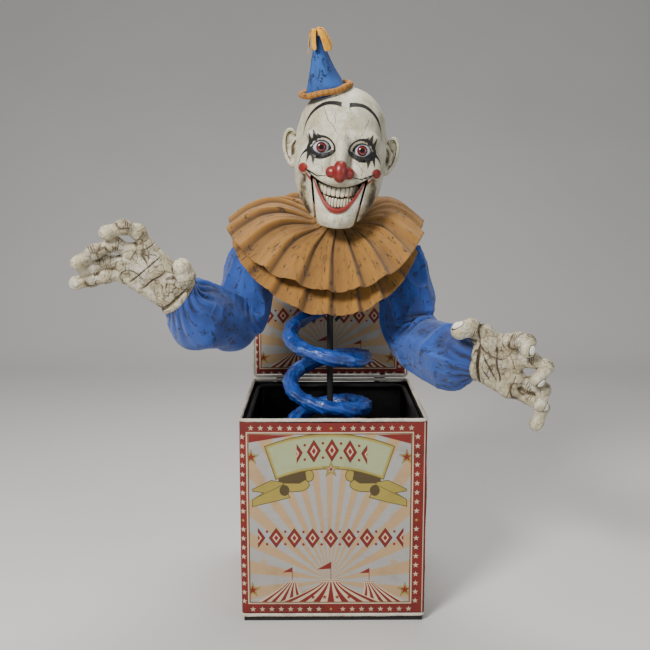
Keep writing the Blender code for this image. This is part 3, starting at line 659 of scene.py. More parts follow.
def tent(look, u, v, middle, lean, top, half_top, half_low, low=0.0270, stripes=5.5):
    """A striped canopy with hollow sides, and a band and a pennant over it."""
    down = (v - top) / (low - top)
    half = look.math("POWER", down.most(0.0), 1.3) * (half_low - half_top) + half_top
    across = u - down * lean - middle
    edge = (abs(across) - half).most(low - v).most(v - top)
    look.layer(CREAM, edge.inside())
    stripe = look.math("COSINE", across / half * (math.pi * stripes)) * -0.004
    look.layer(RED, edge.most(stripe).inside())
    look.layer(CREAM, block_edge(u, v, (middle - half_top, top), (middle + half_top, top + 0.005)).inside())
    band = block_edge(u, v, (middle - half_top, top + 0.0022), (middle + half_top, top + 0.0034))
    look.layer(RED, band.inside())
    pole = top + 0.005
    tall = 0.20 * half_low + 0.019
    look.layer(RED, block_edge(u, v, (middle - 0.0008, pole), (middle + 0.0008, pole + tall)).inside())
    look.layer(RED, patch(u, v, (middle - 0.0005, pole + tall), (middle + 0.0005, pole + tall * 0.62),
                          (middle - tall * 0.75, pole + tall * 0.58)).inside())


def banner(look, u, v):
    """An arched ribbon with folded tails, a row of lozenges on it and a star below."""
    side, arch = abs(u - MIDDLE + 0.003), (u - MIDDLE + 0.003) ** 2.0
    for at, radii in (((0.0773, 0.3014), (0.032, 0.0150)), ((0.045, 0.322), (0.009, 0.012))):
        look.layer(BANNER_EDGE, oval(side, v, at, (radii[0] + 0.002, radii[1] + 0.002)).inside())
        look.layer(OLIVE, oval(side, v, at, radii).inside())
    look.layer(UMBER, patch(side, v, (0.066, 0.304), (0.050, 0.314), (0.054, 0.335), (0.112, 0.318),
                            (0.112, 0.304)).inside())
    tail = patch(side, v, (0.088, 0.272), (0.104, 0.306), (0.128, 0.310), (0.168, 0.290), (0.169, 0.250),
                 (0.112, 0.266))
    tail = tail.most(patch(side, v, (0.142, 0.283), (0.175, 0.288), (0.175, 0.262)) * -1.0)
    look.layer(BANNER_EDGE, (tail - 0.0018).inside())
    look.layer(OLIVE, tail.inside())
    look.layer(BANNER_EDGE, (abs(v - 0.292 + (side - 0.12) * 0.5) - 0.0008).most(tail).inside())
    look.layer(UMBER, oval(side, v, (0.0990, 0.2880), (0.0110, 0.0125)).inside())
    ends = side - (v - 0.3118) * 0.325 - 0.1183
    body = (v + arch * 1.43 - 0.4173).most(arch * -1.75 - v + 0.3363).most(ends)
    look.layer(BANNER_EDGE, body.inside())
    look.layer(OLIVE, (body + 0.0022).inside())
    look.layer(BANNER, (body + 0.0070).inside(0.004))
    rise = v + arch * 1.55 - 0.3790
    lozenges(look, u - MIDDLE - 0.002, rise, half=0.0155, tall=0.026, pitch=0.0395, reach=0.077)
    for radius, colour in ((0.0200, BANNER_EDGE), (0.0172, OLIVE), (0.0120, BANNER_EDGE), (0.0095, CREAM),
                           (0.0065, RED)):
        look.layer(colour, star(u - MIDDLE, v - 0.3363, radius).inside())


def lozenges(look, u, v, half, tall, pitch, reach, shift=0.5):
    """A row of upright lozenges with pale hearts and dots between them, centred on u = 0."""
    cell = (u + pitch * shift) % pitch - pitch / 2
    ends = abs(u) - reach
    for share, colour in ((1.0, DEEP_RED), (0.86, RED), (0.50, CREAM), (0.30, RED)):
        shape = (abs(cell) / (half * share) + abs(v) / (tall * share) - 1) * (half * share * 0.7)
        look.layer(colour, shape.most(ends).inside())
    dot = pitch / 2 - abs(cell)
    away = look.math("SQRT", dot * dot + (abs(v) - tall * 0.62) ** 2.0)
    look.layer(RED, (away - 0.0030).most(ends).inside())


def print_look():
    """The circus print: a starred red frame, a sunburst, a banner and three tents."""
    look = Look("circus_print", RED, 0.82, flat=True)
    wide, v, _ = look.position()
    u = (wide + BOX_HALF) % (2 * BOX_HALF) - BOX_HALF
    look.layer(DEEP_RED, look.noise(0.05, 4).between(0.45, 0.75) * 0.7)
    border_stars(look, u, v)
    look.layer(CREAM, (abs(u - 0.1990) - 0.0012).inside())
    look.layer(CREAM, block_edge(u, v, (-0.1905, 0.0222), (0.1750, 0.4200)).inside())
    look.layer(RED, block_edge(u, v, (-0.1875, 0.0252), (0.1720, 0.4170)).inside())
    look.layer(BANNER_EDGE, block_edge(u, v, (-0.1862, 0.0262), (0.1706, 0.4158)).inside())
    field = block_edge(u, v, (-0.1847, 0.0275), (0.1692, 0.4146))
    look.layer(PEACH, field.inside())
    base = look.colour
    sunburst(look, u, v)
    faint = abs(u + 0.0098)
    for at in ((0.1455, 0.2290), (0.1439, 0.1222)):
        look.layer(PEACH, star(faint - at[0], v - at[1], 0.0125).inside() * 0.7)
    for height in (0.3633, 0.0555):
        for radius, colour in ((0.0190, UMBER), (0.0170, OLIVE), (0.0115, RED)):
            look.layer(colour, star(faint - 0.1700, v - height, radius).inside())
    look.layer(RED, patch(u, v, (-0.1847, 0.3960), (-0.1847, 0.4146), (-0.0857, 0.4130)).inside())
    look.layer(RED, patch(u, v, (0.0938, 0.4135), (0.1692, 0.4146), (0.1692, 0.3928)).inside())
    lozenges(look, u - MIDDLE + 0.0005, v - 0.1785, half=0.0165, tall=0.0235, pitch=0.0402, reach=0.1610)
    tent(look, u, v, -0.0913, -0.0230, 0.0746, 0.0116, 0.0565, stripes=5.5)
    tent(look, u, v, 0.0798, 0.0287, 0.0730, 0.0113, 0.0533, stripes=5.5)
    tent(look, u, v, MIDDLE, 0.0, 0.0755, 0.0200, 0.1140, stripes=7)
    row = abs(u - MIDDLE)
    look.layer(RED, star(abs(row - 0.0270) - 0.0130, v - 0.0385, 0.0062).inside())
    banner(look, u, v)
    outside = field.inside() * -1.0 + 1.0
    hide_outside(look, base, outside)
    age_print(look, wide, v)
    return look


def hide_outside(look, base, share):
    """Puts the frame back over whatever the field's pictures spilled onto it."""
    node = look.nodes.new("ShaderNodeMix")
    node.data_type = "RGBA"
    look.feed(node.inputs[0], share)
    look.links.new(look.colour, node.inputs[6])
    look.links.new(base, node.inputs[7])
    look.colour = node.outputs[2]


def age_print(look, u, v):
    """Ink worn thin on creases, patches darker along the hems, and a coarse weave."""
    look.layer(rgb(150, 132, 112), look.noise(0.0035, 5, 0.75).between(0.60, 0.78) * 0.35)
    look.layer(rgb(58, 44, 34), look.noise(0.12, 6, 0.7).between(0.52, 0.80) * 0.35)
    # Darker in patches along the top and bottom hems.
    hem = (v * -1.0 + 0.02).between(-0.02, 0.03).most((v - PRINT_HIGH + 0.02).between(-0.02, 0.03))
    look.layer(rgb(48, 34, 28), hem * look.noise(0.018, 5).between(0.35, 0.70) * 0.45)
    look.rough(look.noise(0.03) * 0.15 + 0.74)
    weave(look, 0.0014, 0.00015)
    look.bump(look.noise((0.05, 0.02, 0.03), 4, 0.6), 0.003, 0.5)


# ---- The box ----
def rounded_square(half_x, half_y, corner, count):
    """Points round a round-cornered rectangle from the middle of its far side, and how far along each lies."""
    quarters = []
    for k, (side_x, side_y) in enumerate(((-1, 1), (-1, -1), (1, -1), (1, 1))):
        for step in np.linspace(0, 1, 7):
            turn = math.radians(90) * (k + 1 + step)
            quarters.append((side_x * (half_x - corner) + corner * math.cos(turn),
                             side_y * (half_y - corner) + corner * math.sin(turn)))
    outline = np.array([(0.0, half_y)] + quarters + [(0.0, half_y)])
    far = np.concatenate([[0], np.cumsum(np.linalg.norm(np.diff(outline, axis=0), axis=1))])
    even = np.linspace(0, far[-1], count)
    return np.stack([np.interp(even, far, outline[:, k]) for k in (0, 1)], 1), even - far[-1] / 2


def make_cover(prints, lining):
    """Four printed sides sewn into one band, drawn over the frame, with a cut-out at the back."""
    columns, rows = 517, 141
    outline, along = rounded_square(BOX_HALF, BOX_HALF, 0.008, columns)
    heights = np.linspace(COVER_LOW, COVER_HIGH, rows)
    up = (heights - COVER_LOW) / (COVER_HIGH - COVER_LOW)
    points = np.zeros((rows, columns, 3))
    points[..., :2], points[..., 2] = outline[None], heights[:, None]
    across = clamp(np.abs(points[..., :2]).min(-1) / BOX_HALF)
    out = np.where(np.abs(outline[:, :1]) > np.abs(outline[:, 1:]), [1, 0], [0, 1]) * np.sign(outline)
    front = ease(0.20, 0.15, points[..., 1])
    full = np.sin(math.pi * up)[:, None] ** 0.6 * (1 - across ** 2)
    drag = ridges(points, (0.055, 0.055, 0.10), 3) * 0.0012
    sag = 0.0028 * full + (wobble(points, 0.09, 1) * 0.0010 + drag) * np.sin(math.pi * up)[:, None]
    points[..., :2] += out[None] * (sag * front)[..., None]
    points[..., 2] -= 0.0014 * (1 - across ** 2) * (up[:, None] > 0.5) * ease(0.9, 1.0, up)[:, None]
    faces = grid_faces(rows, columns)
    middle = points.reshape(-1, 3)[faces].mean(1)
    beside, above = np.abs(middle[:, 0] + 0.120), np.abs(middle[:, 2] - 0.0675)
    cut = (middle[:, 1] > 0.19) & (beside < 0.030) & (above < 0.0225)
    flat = np.zeros_like(points)
    flat[..., 0], flat[..., 1] = along[None], (heights - COVER_LOW)[:, None]
    cover = piece("cover_cloth", points, faces[~cut], prints, "root", "printed_fabric", ("box_cover",),
                  flat=flat.reshape(-1, 3))
    thicken(cover, 0.0016, inner=lining)


def make_lid(prints, lining):
    """A board under printed cloth: the front is the same print, and the back is black."""
    low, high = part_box("lid_panel")
    columns, rows = 181, 181
    u = np.linspace(-1, 1, columns)
    half_x, half_z = (high.x - low.x) / 2, (high.z - low.z) / 2
    middle = (low + high) / 2
    shells = []
    for side in (-1, 1):
        across, up = np.meshgrid(u, u)
        edge = 1 - np.maximum(np.abs(across), np.abs(up)) ** 24
        thick = (high.y - low.y) / 2 * np.maximum(edge, 0) ** 0.5
        crown = 0.0010 * (1 - across ** 4) * (1 - up ** 4) if side < 0 else 0
        points = np.stack([middle.x + across * half_x, middle.y + side * (thick + crown),
                           middle.z + up * half_z], -1)
        points[..., 1] += side * 0.0005 * wobble(points, 0.05, 5) * edge
        shells.append(points.reshape(-1, 3))
    grid = grid_faces(rows, columns)
    count = rows * columns
    rim = np.concatenate([np.arange(columns), np.arange(1, rows) * columns + columns - 1,
                          count - 2 - np.arange(columns - 1), (rows - 2 - np.arange(rows - 2)) * columns])
    ahead = np.roll(rim, -1)
    faces = np.concatenate([grid, grid[:, ::-1] + count, np.stack([ahead, rim, rim + count, ahead + count], 1)])
    points = np.concatenate(shells)
    printed = (points[:, 2] - 0.4752) * PRINT_HIGH / 0.402
    flat = np.stack([points[:, 0] * BOX_HALF / 0.203, printed, points[:, 1]], 1)
    lid = piece("lid_cloth", points, faces, prints, "lid", "printed_fabric", ("lid_panel",), flat=flat)
    lid.data.materials.append(lining.material)
    for polygon in lid.data.polygons:
        if polygon.index >= len(grid):
            polygon.material_index = 1
    lid.data.update()


def make_piping(look):
    """Round welts sewn into the seams, a little uneven, with the twist of the cord inside showing."""
    rings = {"bottom_piping": "root", "top_piping": "root"}
    lines = []
    for node, body in rings.items():
        low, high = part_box(node)
        outline, _ = rounded_square(0.2033, 0.2033, 0.010, 901)
        height = (low.z + high.z) / 2
        line = np.column_stack([outline[:-1], np.full(900, height)])
        lines.append((node, body, line, Z))
    low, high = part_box("lid_piping")
    half_x, half_z = (high.x - low.x) / 2, (high.z - low.z) / 2
    outline, _ = rounded_square(half_x - PIPING_RADIUS, half_z - PIPING_RADIUS, 0.010, 901)
    centre = (low + high) / 2
    line = np.column_stack([outline[:-1, 0], np.full(900, centre.y), outline[:-1, 1] + centre.z])
    lines.append(("lid_piping", "lid", line, Y))
    for node, body, line, reference in lines:
        line = line + 0.0006 * np.stack([wobble(line, 0.03, k) for k in range(3)], 1)
        angles = np.linspace(0, 2 * math.pi, 12, endpoint=False)
        twist = np.arange(len(line))[:, None] * 0.9 + angles[None]
        radii = PIPING_RADIUS * (0.95 + 0.035 * np.sin(twist) + 0.05 * wobble(line, 0.012, 9)[:, None])
        points, _, _ = tube_points(line, radii, reference, closed=True)
        piece(node + "_cord", points, grid_faces(*radii.shape, True, True), look, body, "white_piping", (node,))


# ---- The coil in its satin sleeve ----
def coil_point(degrees):
    """The coil's centre line. It goes down as the angle grows, from left to right across the front."""
    angle = math.radians(degrees)
    height = 0.565 - 0.118 * degrees / 360 + 0.013 * math.sin(angle)
    if degrees < -230:
        height += 0.030 * ((-230 - degrees) / 60) ** 2
    return -0.010 + 0.090 * math.cos(angle), 0.090 * math.sin(angle), height


def make_coil(look):
    """A satin tube gathered over the coil: folds that wander along it, and a seam that winds round."""
    line = np.array([coil_point(degrees) for degrees in np.linspace(-290, 1570, 1500)])
    far = np.concatenate([[0], np.cumsum(np.linalg.norm(np.diff(line, axis=0), axis=1))])
    angles = np.linspace(0, 2 * math.pi, 44, endpoint=False)
    turn = angles[None] + far[:, None] * 9 + 0.8 * wobble(np.column_stack([far] * 3), 0.08, 2)[:, None]
    along = np.broadcast_to(far[:, None], turn.shape)
    around = np.stack([np.cos(turn) * COIL_TUBE, np.sin(turn) * COIL_TUBE, along], -1)
    folds = 0.20 * (ridges(around, (0.011, 0.011, 0.040), 4) - 0.45)
    crinkle = 0.085 * (ridges(around, (0.008, 0.008, 0.011), 7) - 0.45)
    pinch = -0.10 * ridges(np.column_stack([far] * 3), 0.050, 8)[:, None]
    share = 0.94 + folds + crinkle + pinch
    ends = ease(0, 0.010, far) * ease(0, 0.010, far[-1] - far)
    radii = COIL_TUBE * clamp(share, 0.6, 1.12) * (0.25 + 0.75 * ends[:, None] ** 0.5)
    points, _, _ = tube_points(line, radii, Z)
    faces = np.concatenate([grid_faces(*radii.shape, wrap_columns=True)[:, ::-1], caps(*radii.shape)[:, ::-1]])
    flat = np.stack([angles[None] * COIL_TUBE + 0 * along, along, turn * 0], -1)
    # This mask marks the sunken gathers, where the satin look paints shade.
    valley = clamp((0.93 - share) * 4)
    coil = piece("coil_sleeve", points, faces, look, "root", "blue_satin", ("body_spring",),
                 flat=flat.reshape(-1, 3), fold=valley.ravel())
    bpy.context.view_layer.update()
    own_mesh(coil)


# ---- Clothes ----
UPPER_RUFF = {"start": -0.16, "drop": 0.0, "front": 0.134, "fall": 1.4, "side_z": 0.885, "back": 0.050,
              "reach": (0.205, 0.228, 0.165), "arch": 0.040}
LOWER_RUFF = {"start": 0.0, "drop": 0.010, "front": 0.166, "fall": 1.1, "side_z": 0.862, "back": 0.035,
              "reach": (0.192, 0.215, 0.160), "arch": 0.022}
RUFF_FOLDS = 19


def ruff_point(shape, angle, across):
    """A ruff's middle surface, at angles from the front and shares of the way from the neck to its edge."""
    facing = np.cos(angle)
    forward, backward = np.maximum(facing, 0), np.maximum(-facing, 0)
    front, side, back = shape["reach"]
    side = side - 0.017 * np.sin(angle)
    reach = side + (front - side) * forward ** 2 + (back - side) * backward ** 2
    edge_z = shape["side_z"] - shape["front"] * forward ** shape["fall"] + shape["back"] * backward
    neck_z = 0.903 - 0.036 * facing - shape["drop"]
    inner_x, inner_y = NECK_CENTRE[0] + NECK_RADIUS * np.sin(angle), NECK_CENTRE[1] - NECK_RADIUS * facing
    x = inner_x + (reach * np.sin(angle) - inner_x) * across
    y = inner_y + (-reach * facing - inner_y) * across
    z = neck_z + (edge_z - neck_z) * clamp(across) + 0.10 * clamp(-across)
    z = z + shape["arch"] * (1 - 0.75 * forward) * (1 - 0.6 * backward) * np.sin(math.pi * clamp(across))
    return np.stack([x, y, z], -1)


def pleats(phase):
    """Broad panels that climb slowly and drop back in a narrow fold, and how deep in that fold a place lies."""
    share = (phase / (2 * math.pi)) % 1.0
    climb = share / 0.84
    drop = 1 - ease(0.84, 1.0, share)
    wave = 2 * np.where(share < 0.84, climb, drop) - 1
    return wave, hump(share, 0.965, 0.060) + hump(share, -0.035, 0.060)


def make_ruff(name, shape, node, look, depth, seed):
    """A pleated ruff: folds that open from the neck to the edge, lean over each other and wander a little."""
    columns, rows = 1200, 70
    turn = np.linspace(0, 2 * math.pi, columns, endpoint=False)[None]
    across = np.linspace(shape["start"], 1, rows)[:, None]
    circle = np.stack([np.cos(turn) + 0 * across, np.sin(turn) + 0 * across, 0.35 * across + 0 * turn], -1)
    drift = 0.85 * wobble(circle, 0.45, 1) + 0.25 * wobble(circle, 0.16, seed)
    phase = RUFF_FOLDS * turn + drift * ease(0.0, 0.5, across)
    swell = 0.75 + 0.35 * wobble(circle, 0.30, seed + 2)
    wave, crease = pleats(phase)
    wave = 0.75 * wave + 0.35 * np.cos(phase * 0.5 + 1.3) + 0.16 * np.cos(2 * phase + 0.9)
    open_out = 0.10 + 0.90 * clamp(across) ** 0.8
    lean = 0.55 / RUFF_FOLDS * np.sin(phase) * open_out
    points = ruff_point(shape, turn + lean, across + 0 * turn)
    flow_u = np.gradient(ruff_point(shape, turn + 0 * across, across + 0 * turn), axis=1)
    flow_v = np.gradient(ruff_point(shape, turn + 0 * across, across + 0 * turn), axis=0)
    normal = unit(np.cross(flow_u, flow_v))
    normal *= np.sign(normal[..., 2:3] + 0.3 + 1e-9)
    height = depth * open_out * swell * wave - 0.0035 * crease * ease(1.0, 0.2, across)
    height = height + 0.0022 * wobble(circle, (0.09, 0.09, 0.05), seed + 5) * across
    points = points + normal * height[..., None]
    points[..., 2] -= 0.006 * across[..., 0:1] ** 3 * (1 + wobble(circle, 0.35, seed + 7)) * 0.5
    far = across * 0.175 + 0 * turn
    flat = np.stack([turn * 0.30 + 0 * across, far, 0 * far], -1)
    # This mask marks where painted shade goes: deep in each pleat's fold and on the sunken part of the pleat.
    fold = clamp(crease * (1.05 - 0.45 * across) + clamp(-wave) * 0.35)
    ruff = piece(name, points, grid_faces(rows, columns, wrap_columns=True), look, "figure", "ochre_cloth",
                 (node,), flat=flat.reshape(-1, 3), fold=fold.ravel())
    thicken(ruff, 0.0012, offset=0.0)
    return ruff


def make_shirt(look):
    """The short body of the shirt over the torso plate, gathered above and hanging below."""
    columns, rows = 240, 50
    turn = np.linspace(0, 2 * math.pi, columns, endpoint=False)[None]
    up = np.linspace(0, 1, rows)[:, None]
    high = 0.702 + 0.130 * up
    half_x = np.interp(up, (0, 0.45, 1), (0.100, 0.099, 0.092))
    half_y = np.interp(up, (0, 0.45, 1), (0.118, 0.108, 0.078))
    circle = np.stack([np.cos(turn) + 0 * up, np.sin(turn) + 0 * up, 0.5 * up + 0 * turn], -1)
    folds = 0.0035 * np.sin(26 * turn + 2 * wobble(circle, 0.5, 3)) * (0.4 + 0.6 * (1 - up))
    across, ahead = MAST_X + (half_x + folds) * np.cos(turn), (half_y + folds) * np.sin(turn)
    points = np.stack([across, ahead, high + 0 * turn], -1)
    flat = np.stack([turn * 0.10 + 0 * up, high + 0 * turn, 0 * turn + 0 * up], -1)
    faces = grid_faces(rows, columns, wrap_columns=True)
    # The fold attribute marks the inward folds, where painted shade goes.
    shirt = piece("shirt_cloth", points, faces, look, "figure", "blue_cloth", ("shirt",),
                  flat=flat.reshape(-1, 3), fold=clamp(-folds * 300).ravel())
    thicken(shirt, 0.0012)


def sleeve_folds(around, far, length, seed):
    """How far a sleeve's cloth stands out: soft drapes, sharp creases, and gathers at its ends."""
    drapes = 0.0048 * wobble(around, (0.055, 0.055, 0.095), seed)
    creases = 0.0105 * (ridges(around, (0.050, 0.050, 0.120), seed + 3) ** 2 - 0.18)
    fine = 0.0016 * (ridges(around, 0.022, seed + 6) - 0.4)
    turn = np.arctan2(around[..., 1], around[..., 0])
    gather = 0.0030 * np.sin(17 * turn + 2.5 * wobble(around, 0.04, seed + 9))
    near = hump(far, length, 0.035) + hump(far, 0, 0.030)
    return drapes + creases * (1 - 0.5 * near) + fine + gather * near


def make_sleeve(name, arm, label, look, seed):
    """One blue sleeve from shoulder to cuff: it hangs like a bag under the forearm and behind the elbow."""
    shoulder, elbow, wrist = (np.array(arm[key]) for key in ("shoulder", "elbow", "wrist"))
    bend = [shoulder + (elbow - shoulder) * 0.05, shoulder + (elbow - shoulder) * 0.5,
            elbow + (shoulder - elbow) * 0.10 + (wrist - elbow) * 0.06, elbow + (wrist - elbow) * 0.5,
            elbow + (wrist - elbow) * 0.97, wrist + unit(np.array(arm["palm"]) - wrist) * 0.016]
    rows, columns = 260, 200
    line = through(bend, rows)
    far = np.concatenate([[0], np.cumsum(np.linalg.norm(np.diff(line, axis=0), axis=1))])[:, None]
    length, share = far[-1, 0], far / far[-1, 0]
    width = np.interp(share, (0, 0.08, 0.25, 0.42, 0.55, 0.68, 0.82, 0.93, 0.98, 1.0),
                      (0.034, 0.049, 0.056, 0.058, 0.056, 0.062, 0.065, 0.060, 0.046, 0.0385))
    for _ in range(40):
        width[1:-1] = (width[:-2] + 2 * width[1:-1] + width[2:]) / 4
    _, out, angles = tube_points(line, np.ones((rows, columns)), X)
    around = np.stack([np.cos(angles)[None] * 0.055 + 0 * far, np.sin(angles)[None] * 0.055 + 0 * far,
                       far + 0 * angles[None]], -1)
    down = clamp(-out[..., 2])
    bag = 0.035 * hump(share, 0.84, 0.10) * down ** 1.7 + 0.014 * hump(share, 0.69, 0.11) * down ** 1.5
    hang = arm["bag"] * bag + 0.014 * hump(share, 0.55, 0.07) * down ** 4
    back = out @ unit(elbow - (shoulder + wrist) / 2)
    hang = hang + 0.010 * hump(share, 0.50, 0.10) * clamp(back) ** 3
    folds = sleeve_folds(around, far, length, seed)
    inner_bend = clamp(-back) * hump(share, 0.50, 0.10)
    ripples = np.cos((share - 0.5) * 95 + wobble(around, 0.05, seed + 2))
    folds = folds + 0.006 * inner_bend * ripples - 0.010 * inner_bend
    bound = ease(1.0, 0.94, share)
    radii = np.maximum(width + hang * bound + folds * (0.15 + 0.85 * bound), 0.012)
    points, _, _ = tube_points(line, radii, X)
    flat = np.stack([angles[None] * 0.055 + 0 * far, far + 0 * angles[None], 0 * radii], -1)
    # The fold attribute marks the inward folds, where painted shade goes.
    sleeve = piece(name, points, grid_faces(rows, columns, wrap_columns=True), look, None, "blue_cloth",
                   (label + "_upper_sleeve", label + "_forearm_sleeve"),
                   flat=flat.reshape(-1, 3), fold=clamp(-folds * 130).ravel())
    thicken(sleeve, 0.0014)
    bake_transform(sleeve)


# ---- The head ----
# Places on the face are (x, z) from the middle of the eye line, and mirrored.
EYE_MIDDLE = 0.0432
BROW = ((0.006, 0.0920), (0.022, 0.0950), (0.042, 0.0935), (0.060, 0.0830), (0.074, 0.0670), (0.0825, 0.0460),
        (0.0855, 0.0220))
BROW_WIDTHS = (0.0056, 0.0046, 0.0041, 0.0034, 0.0024, 0.0011, 0.0002)
LASHES = (((0.058, 0.017), (0.064, 0.037), 0.0055), ((0.067, 0.008), (0.0730, 0.030), 0.0045),
          ((0.049, 0.021), (0.056, 0.028), 0.0040),
          ((0.059, -0.018), (0.058, -0.038), 0.0050), ((0.069, -0.012), (0.073, -0.034), 0.0042))
TAIL = ((0.060, -0.004), (0.072, -0.006), (0.082, -0.014), (0.0880, -0.028), (0.0895, -0.060))
TAIL_WIDTHS = (0.0065, 0.0036, 0.0018, 0.0007, 0.0001)
CRACKS = (((-0.045, 0.085), (-0.040, 0.070), (-0.033, 0.056), (-0.021, 0.044), (-0.016, 0.034),
           (-0.010, 0.029)),
          ((-0.021, 0.044), (-0.018, 0.056), (-0.022, 0.068)),
          ((0.018, 0.032), (0.032, 0.019), (0.044, 0.040), (0.047, 0.052), (0.053, 0.066)),
          ((0.026, -0.024), (0.038, -0.030), (0.047, -0.042), (0.046, -0.052)),
          ((-0.034, -0.028), (-0.040, -0.038), (-0.037, -0.050)))
FROWN = ((0.006, 0.032), (0.0045, 0.020), (0.007, 0.008))
CHEEK_DOT = (0.0785, -0.0450)
JAW_SIDE = ((0.0575, -0.0640), (0.0440, -0.1400))
CHEEK_GROOVE = ((0.071, -0.056), (0.078, -0.078), (0.073, -0.108), (0.058, -0.138))
NOSE_SHADE = ((0.010, 0.026), (0.013, 0.008), (0.021, -0.016), (0.024, -0.036))
LIP_CREASES = ((0.014, -0.052), (0.030, -0.058), (0.048, -0.060), (0.064, -0.052), (0.073, -0.048))


def lip_line(x):
    """The upper lip's lower edge: a wide smile."""
    return -0.0825 + 6.4 * x * x


def lower_lip(x):
    """The lower lip's middle line."""
    return -0.1285 + 21.0 * x * x


def eye_opening(x, z):
    """Distance to the almond of an open eye, in the plane of the face. x is from the eye's middle."""
    upper = np.hypot(x, z + 0.0068) - 0.0213
    lower = np.hypot(x, z - 0.0126) - 0.0246
    return np.maximum(upper, lower)


def stroke(x, z, points, widths):
    """Distance to a painted line whose half width changes along it."""
    best = None
    for (x1, z1), (x2, z2), w1, w2 in zip(points, points[1:], widths, widths[1:]):
        dx, dz = x2 - x1, z2 - z1
        share = clamp(((x - x1) * dx + (z - z1) * dz) / (dx * dx + dz * dz))
        off = np.hypot(x - x1 - share * dx, z - z1 - share * dz) - (w1 + (w2 - w1) * share)
        best = off if best is None else np.minimum(best, off)
    return best


def section_at(height):
    """The head's half width and its reach to the front and back at each height."""
    table = np.array(HEAD_SECTIONS)[::-1]
    fine = np.linspace(table[0, 0], table[-1, 0], 400)
    columns = []
    for k in (1, 2, 3):
        squared = np.sign(table[:, k]) * table[:, k] ** 2
        values = np.interp(fine, table[:, 0], squared)
        for _ in range(60):
            values[1:-1] = (values[:-2] + 2 * values[1:-1] + values[2:]) / 4
        columns.append(np.interp(height, fine, np.sign(values) * np.sqrt(np.abs(values))))
    return columns


def egg(clay, grow):
    """Distance to the head's even form, grown by a distance, over the whole grid."""
    x, y, z = clay.axes[0][:, None, None], clay.axes[1][None, :, None], clay.axes[2][None, None, :]
    half, front, back = (v[None, None, :] for v in section_at(clay.axes[2]))
    wide = np.maximum(half + grow, 0.001)
    deep = np.maximum((front + back) / 2 + grow, 0.001)
    near = np.sqrt((x / wide) ** 2 + ((y - (back - front) / 2) / deep) ** 2)
    side = (near - 1) * np.minimum(wide, deep)
    ends = np.maximum(z - (HEAD_SECTIONS[0][0] + grow), HEAD_SECTIONS[-1][0] - grow - z)
    return np.maximum(side, ends + 0 * side).astype(np.float32)


def model_face(clay):
    """Brows, sockets, cheeks, nose bridge, ears and folds, the same on both sides."""
    for side in (-1, 1):
        clay.ball((side * 0.043, -0.090, 0.026), (0.036, 0.020, 0.014), 0.014)
        clay.ball((side * 0.062, -0.076, -0.040), (0.028, 0.030, 0.026), 0.014)
        clay.ball((side * 0.040, -0.092, -0.052), (0.026, 0.022, 0.018), 0.012)
        clay.ball((side * 0.021, -0.115, -0.020), (0.010, 0.010, 0.022), 0.010, carve=True)
        clay.ball((side * 0.043, -0.119, 0.001), (0.028, 0.016, 0.017), 0.010, carve=True)
        clay.ball((side * 0.0435, -0.084, 0.0), (0.0242,) * 3, 0.005)
        clay.ball((side * 0.104, -0.052, 0.044), (0.016, 0.040, 0.036), 0.022, carve=True)
        clay.path([(side * x, -0.104 + 0.55 * x, z) for x, z in LIP_CREASES], (0.0028,) * 5, 0.004, carve=True)
        clay.path([(side * 0.078, -0.084, -0.062), (side * 0.076, -0.084, -0.090),
                   (side * 0.066, -0.088, -0.122)],
                  (0.005, 0.0065, 0.004), 0.006, carve=True)
        clay.path([(side * 0.005, -0.116, 0.030), (side * 0.006, -0.116, 0.010)], (0.0016, 0.0010), 0.003,
                  carve=True)
        clay.path([(side * 0.024, -0.108, -0.016), (side * 0.040, -0.106, -0.024),
                   (side * 0.060, -0.092, -0.018)],
                  (0.0012, 0.0014, 0.0010), 0.004, carve=True)
        model_ear(clay, side)
    clay.limb((0, -0.108, 0.020), (0, -0.126, -0.035), 0.011, 0.010, 0.012)
    clay.ball((0, -0.112, -0.066), (0.036, 0.018, 0.014), 0.010)


def ear_rim(share):
    """The ear's outer rim, from over its root round to its lobe: across from the root, and up."""
    turn = math.radians(125 - 215 * share)
    across = 0.0105 + 0.0150 * math.cos(turn) - 0.008 * max(share - 0.6, 0)
    return across, 0.003 + 0.036 * math.sin(turn) - 0.006 * share


def model_ear(clay, side):
    """A cupped ear that stands out and faces forward."""
    root, tilt = 0.1000, side * 0.20
    clay.ball((side * (root + 0.010), 0.008, 0.0), (0.0190, 0.0080, 0.0370), 0.005, turn=tilt)
    clay.ball((side * (root + 0.010), -0.003, 0.004), (0.0125, 0.0080, 0.0260), 0.004, carve=True, turn=tilt)
    clay.ball((side * (root + 0.004), -0.004, -0.008), (0.0070, 0.0130, 0.0110), 0.004, carve=True)
    rim = []
    for share in np.linspace(0, 1, 15):
        across, up = ear_rim(share)
        rim.append((side * (root + across + 0.16 * up), 0.001 + 0.004 * share, up))
    clay.path(rim, np.linspace(0.0040, 0.0050, 15), 0.003)
    clay.path([(side * (root + 0.004), -0.001, 0.020), (side * (root + 0.013), 0.001, 0.004),
               (side * (root + 0.011), 0.001, -0.016)], (0.0028, 0.0034, 0.0026), 0.004)
    clay.ball((side * (root + 0.004), 0.000, -0.033), (0.0075, 0.0070, 0.0090), 0.006)


def jaw_edge(z):
    """How far the jaw's slots lie from the middle at each height."""
    (x1, z1), (x2, z2) = JAW_SIDE
    return x1 + (x2 - x1) * (z1 - z) / (z1 - z2)


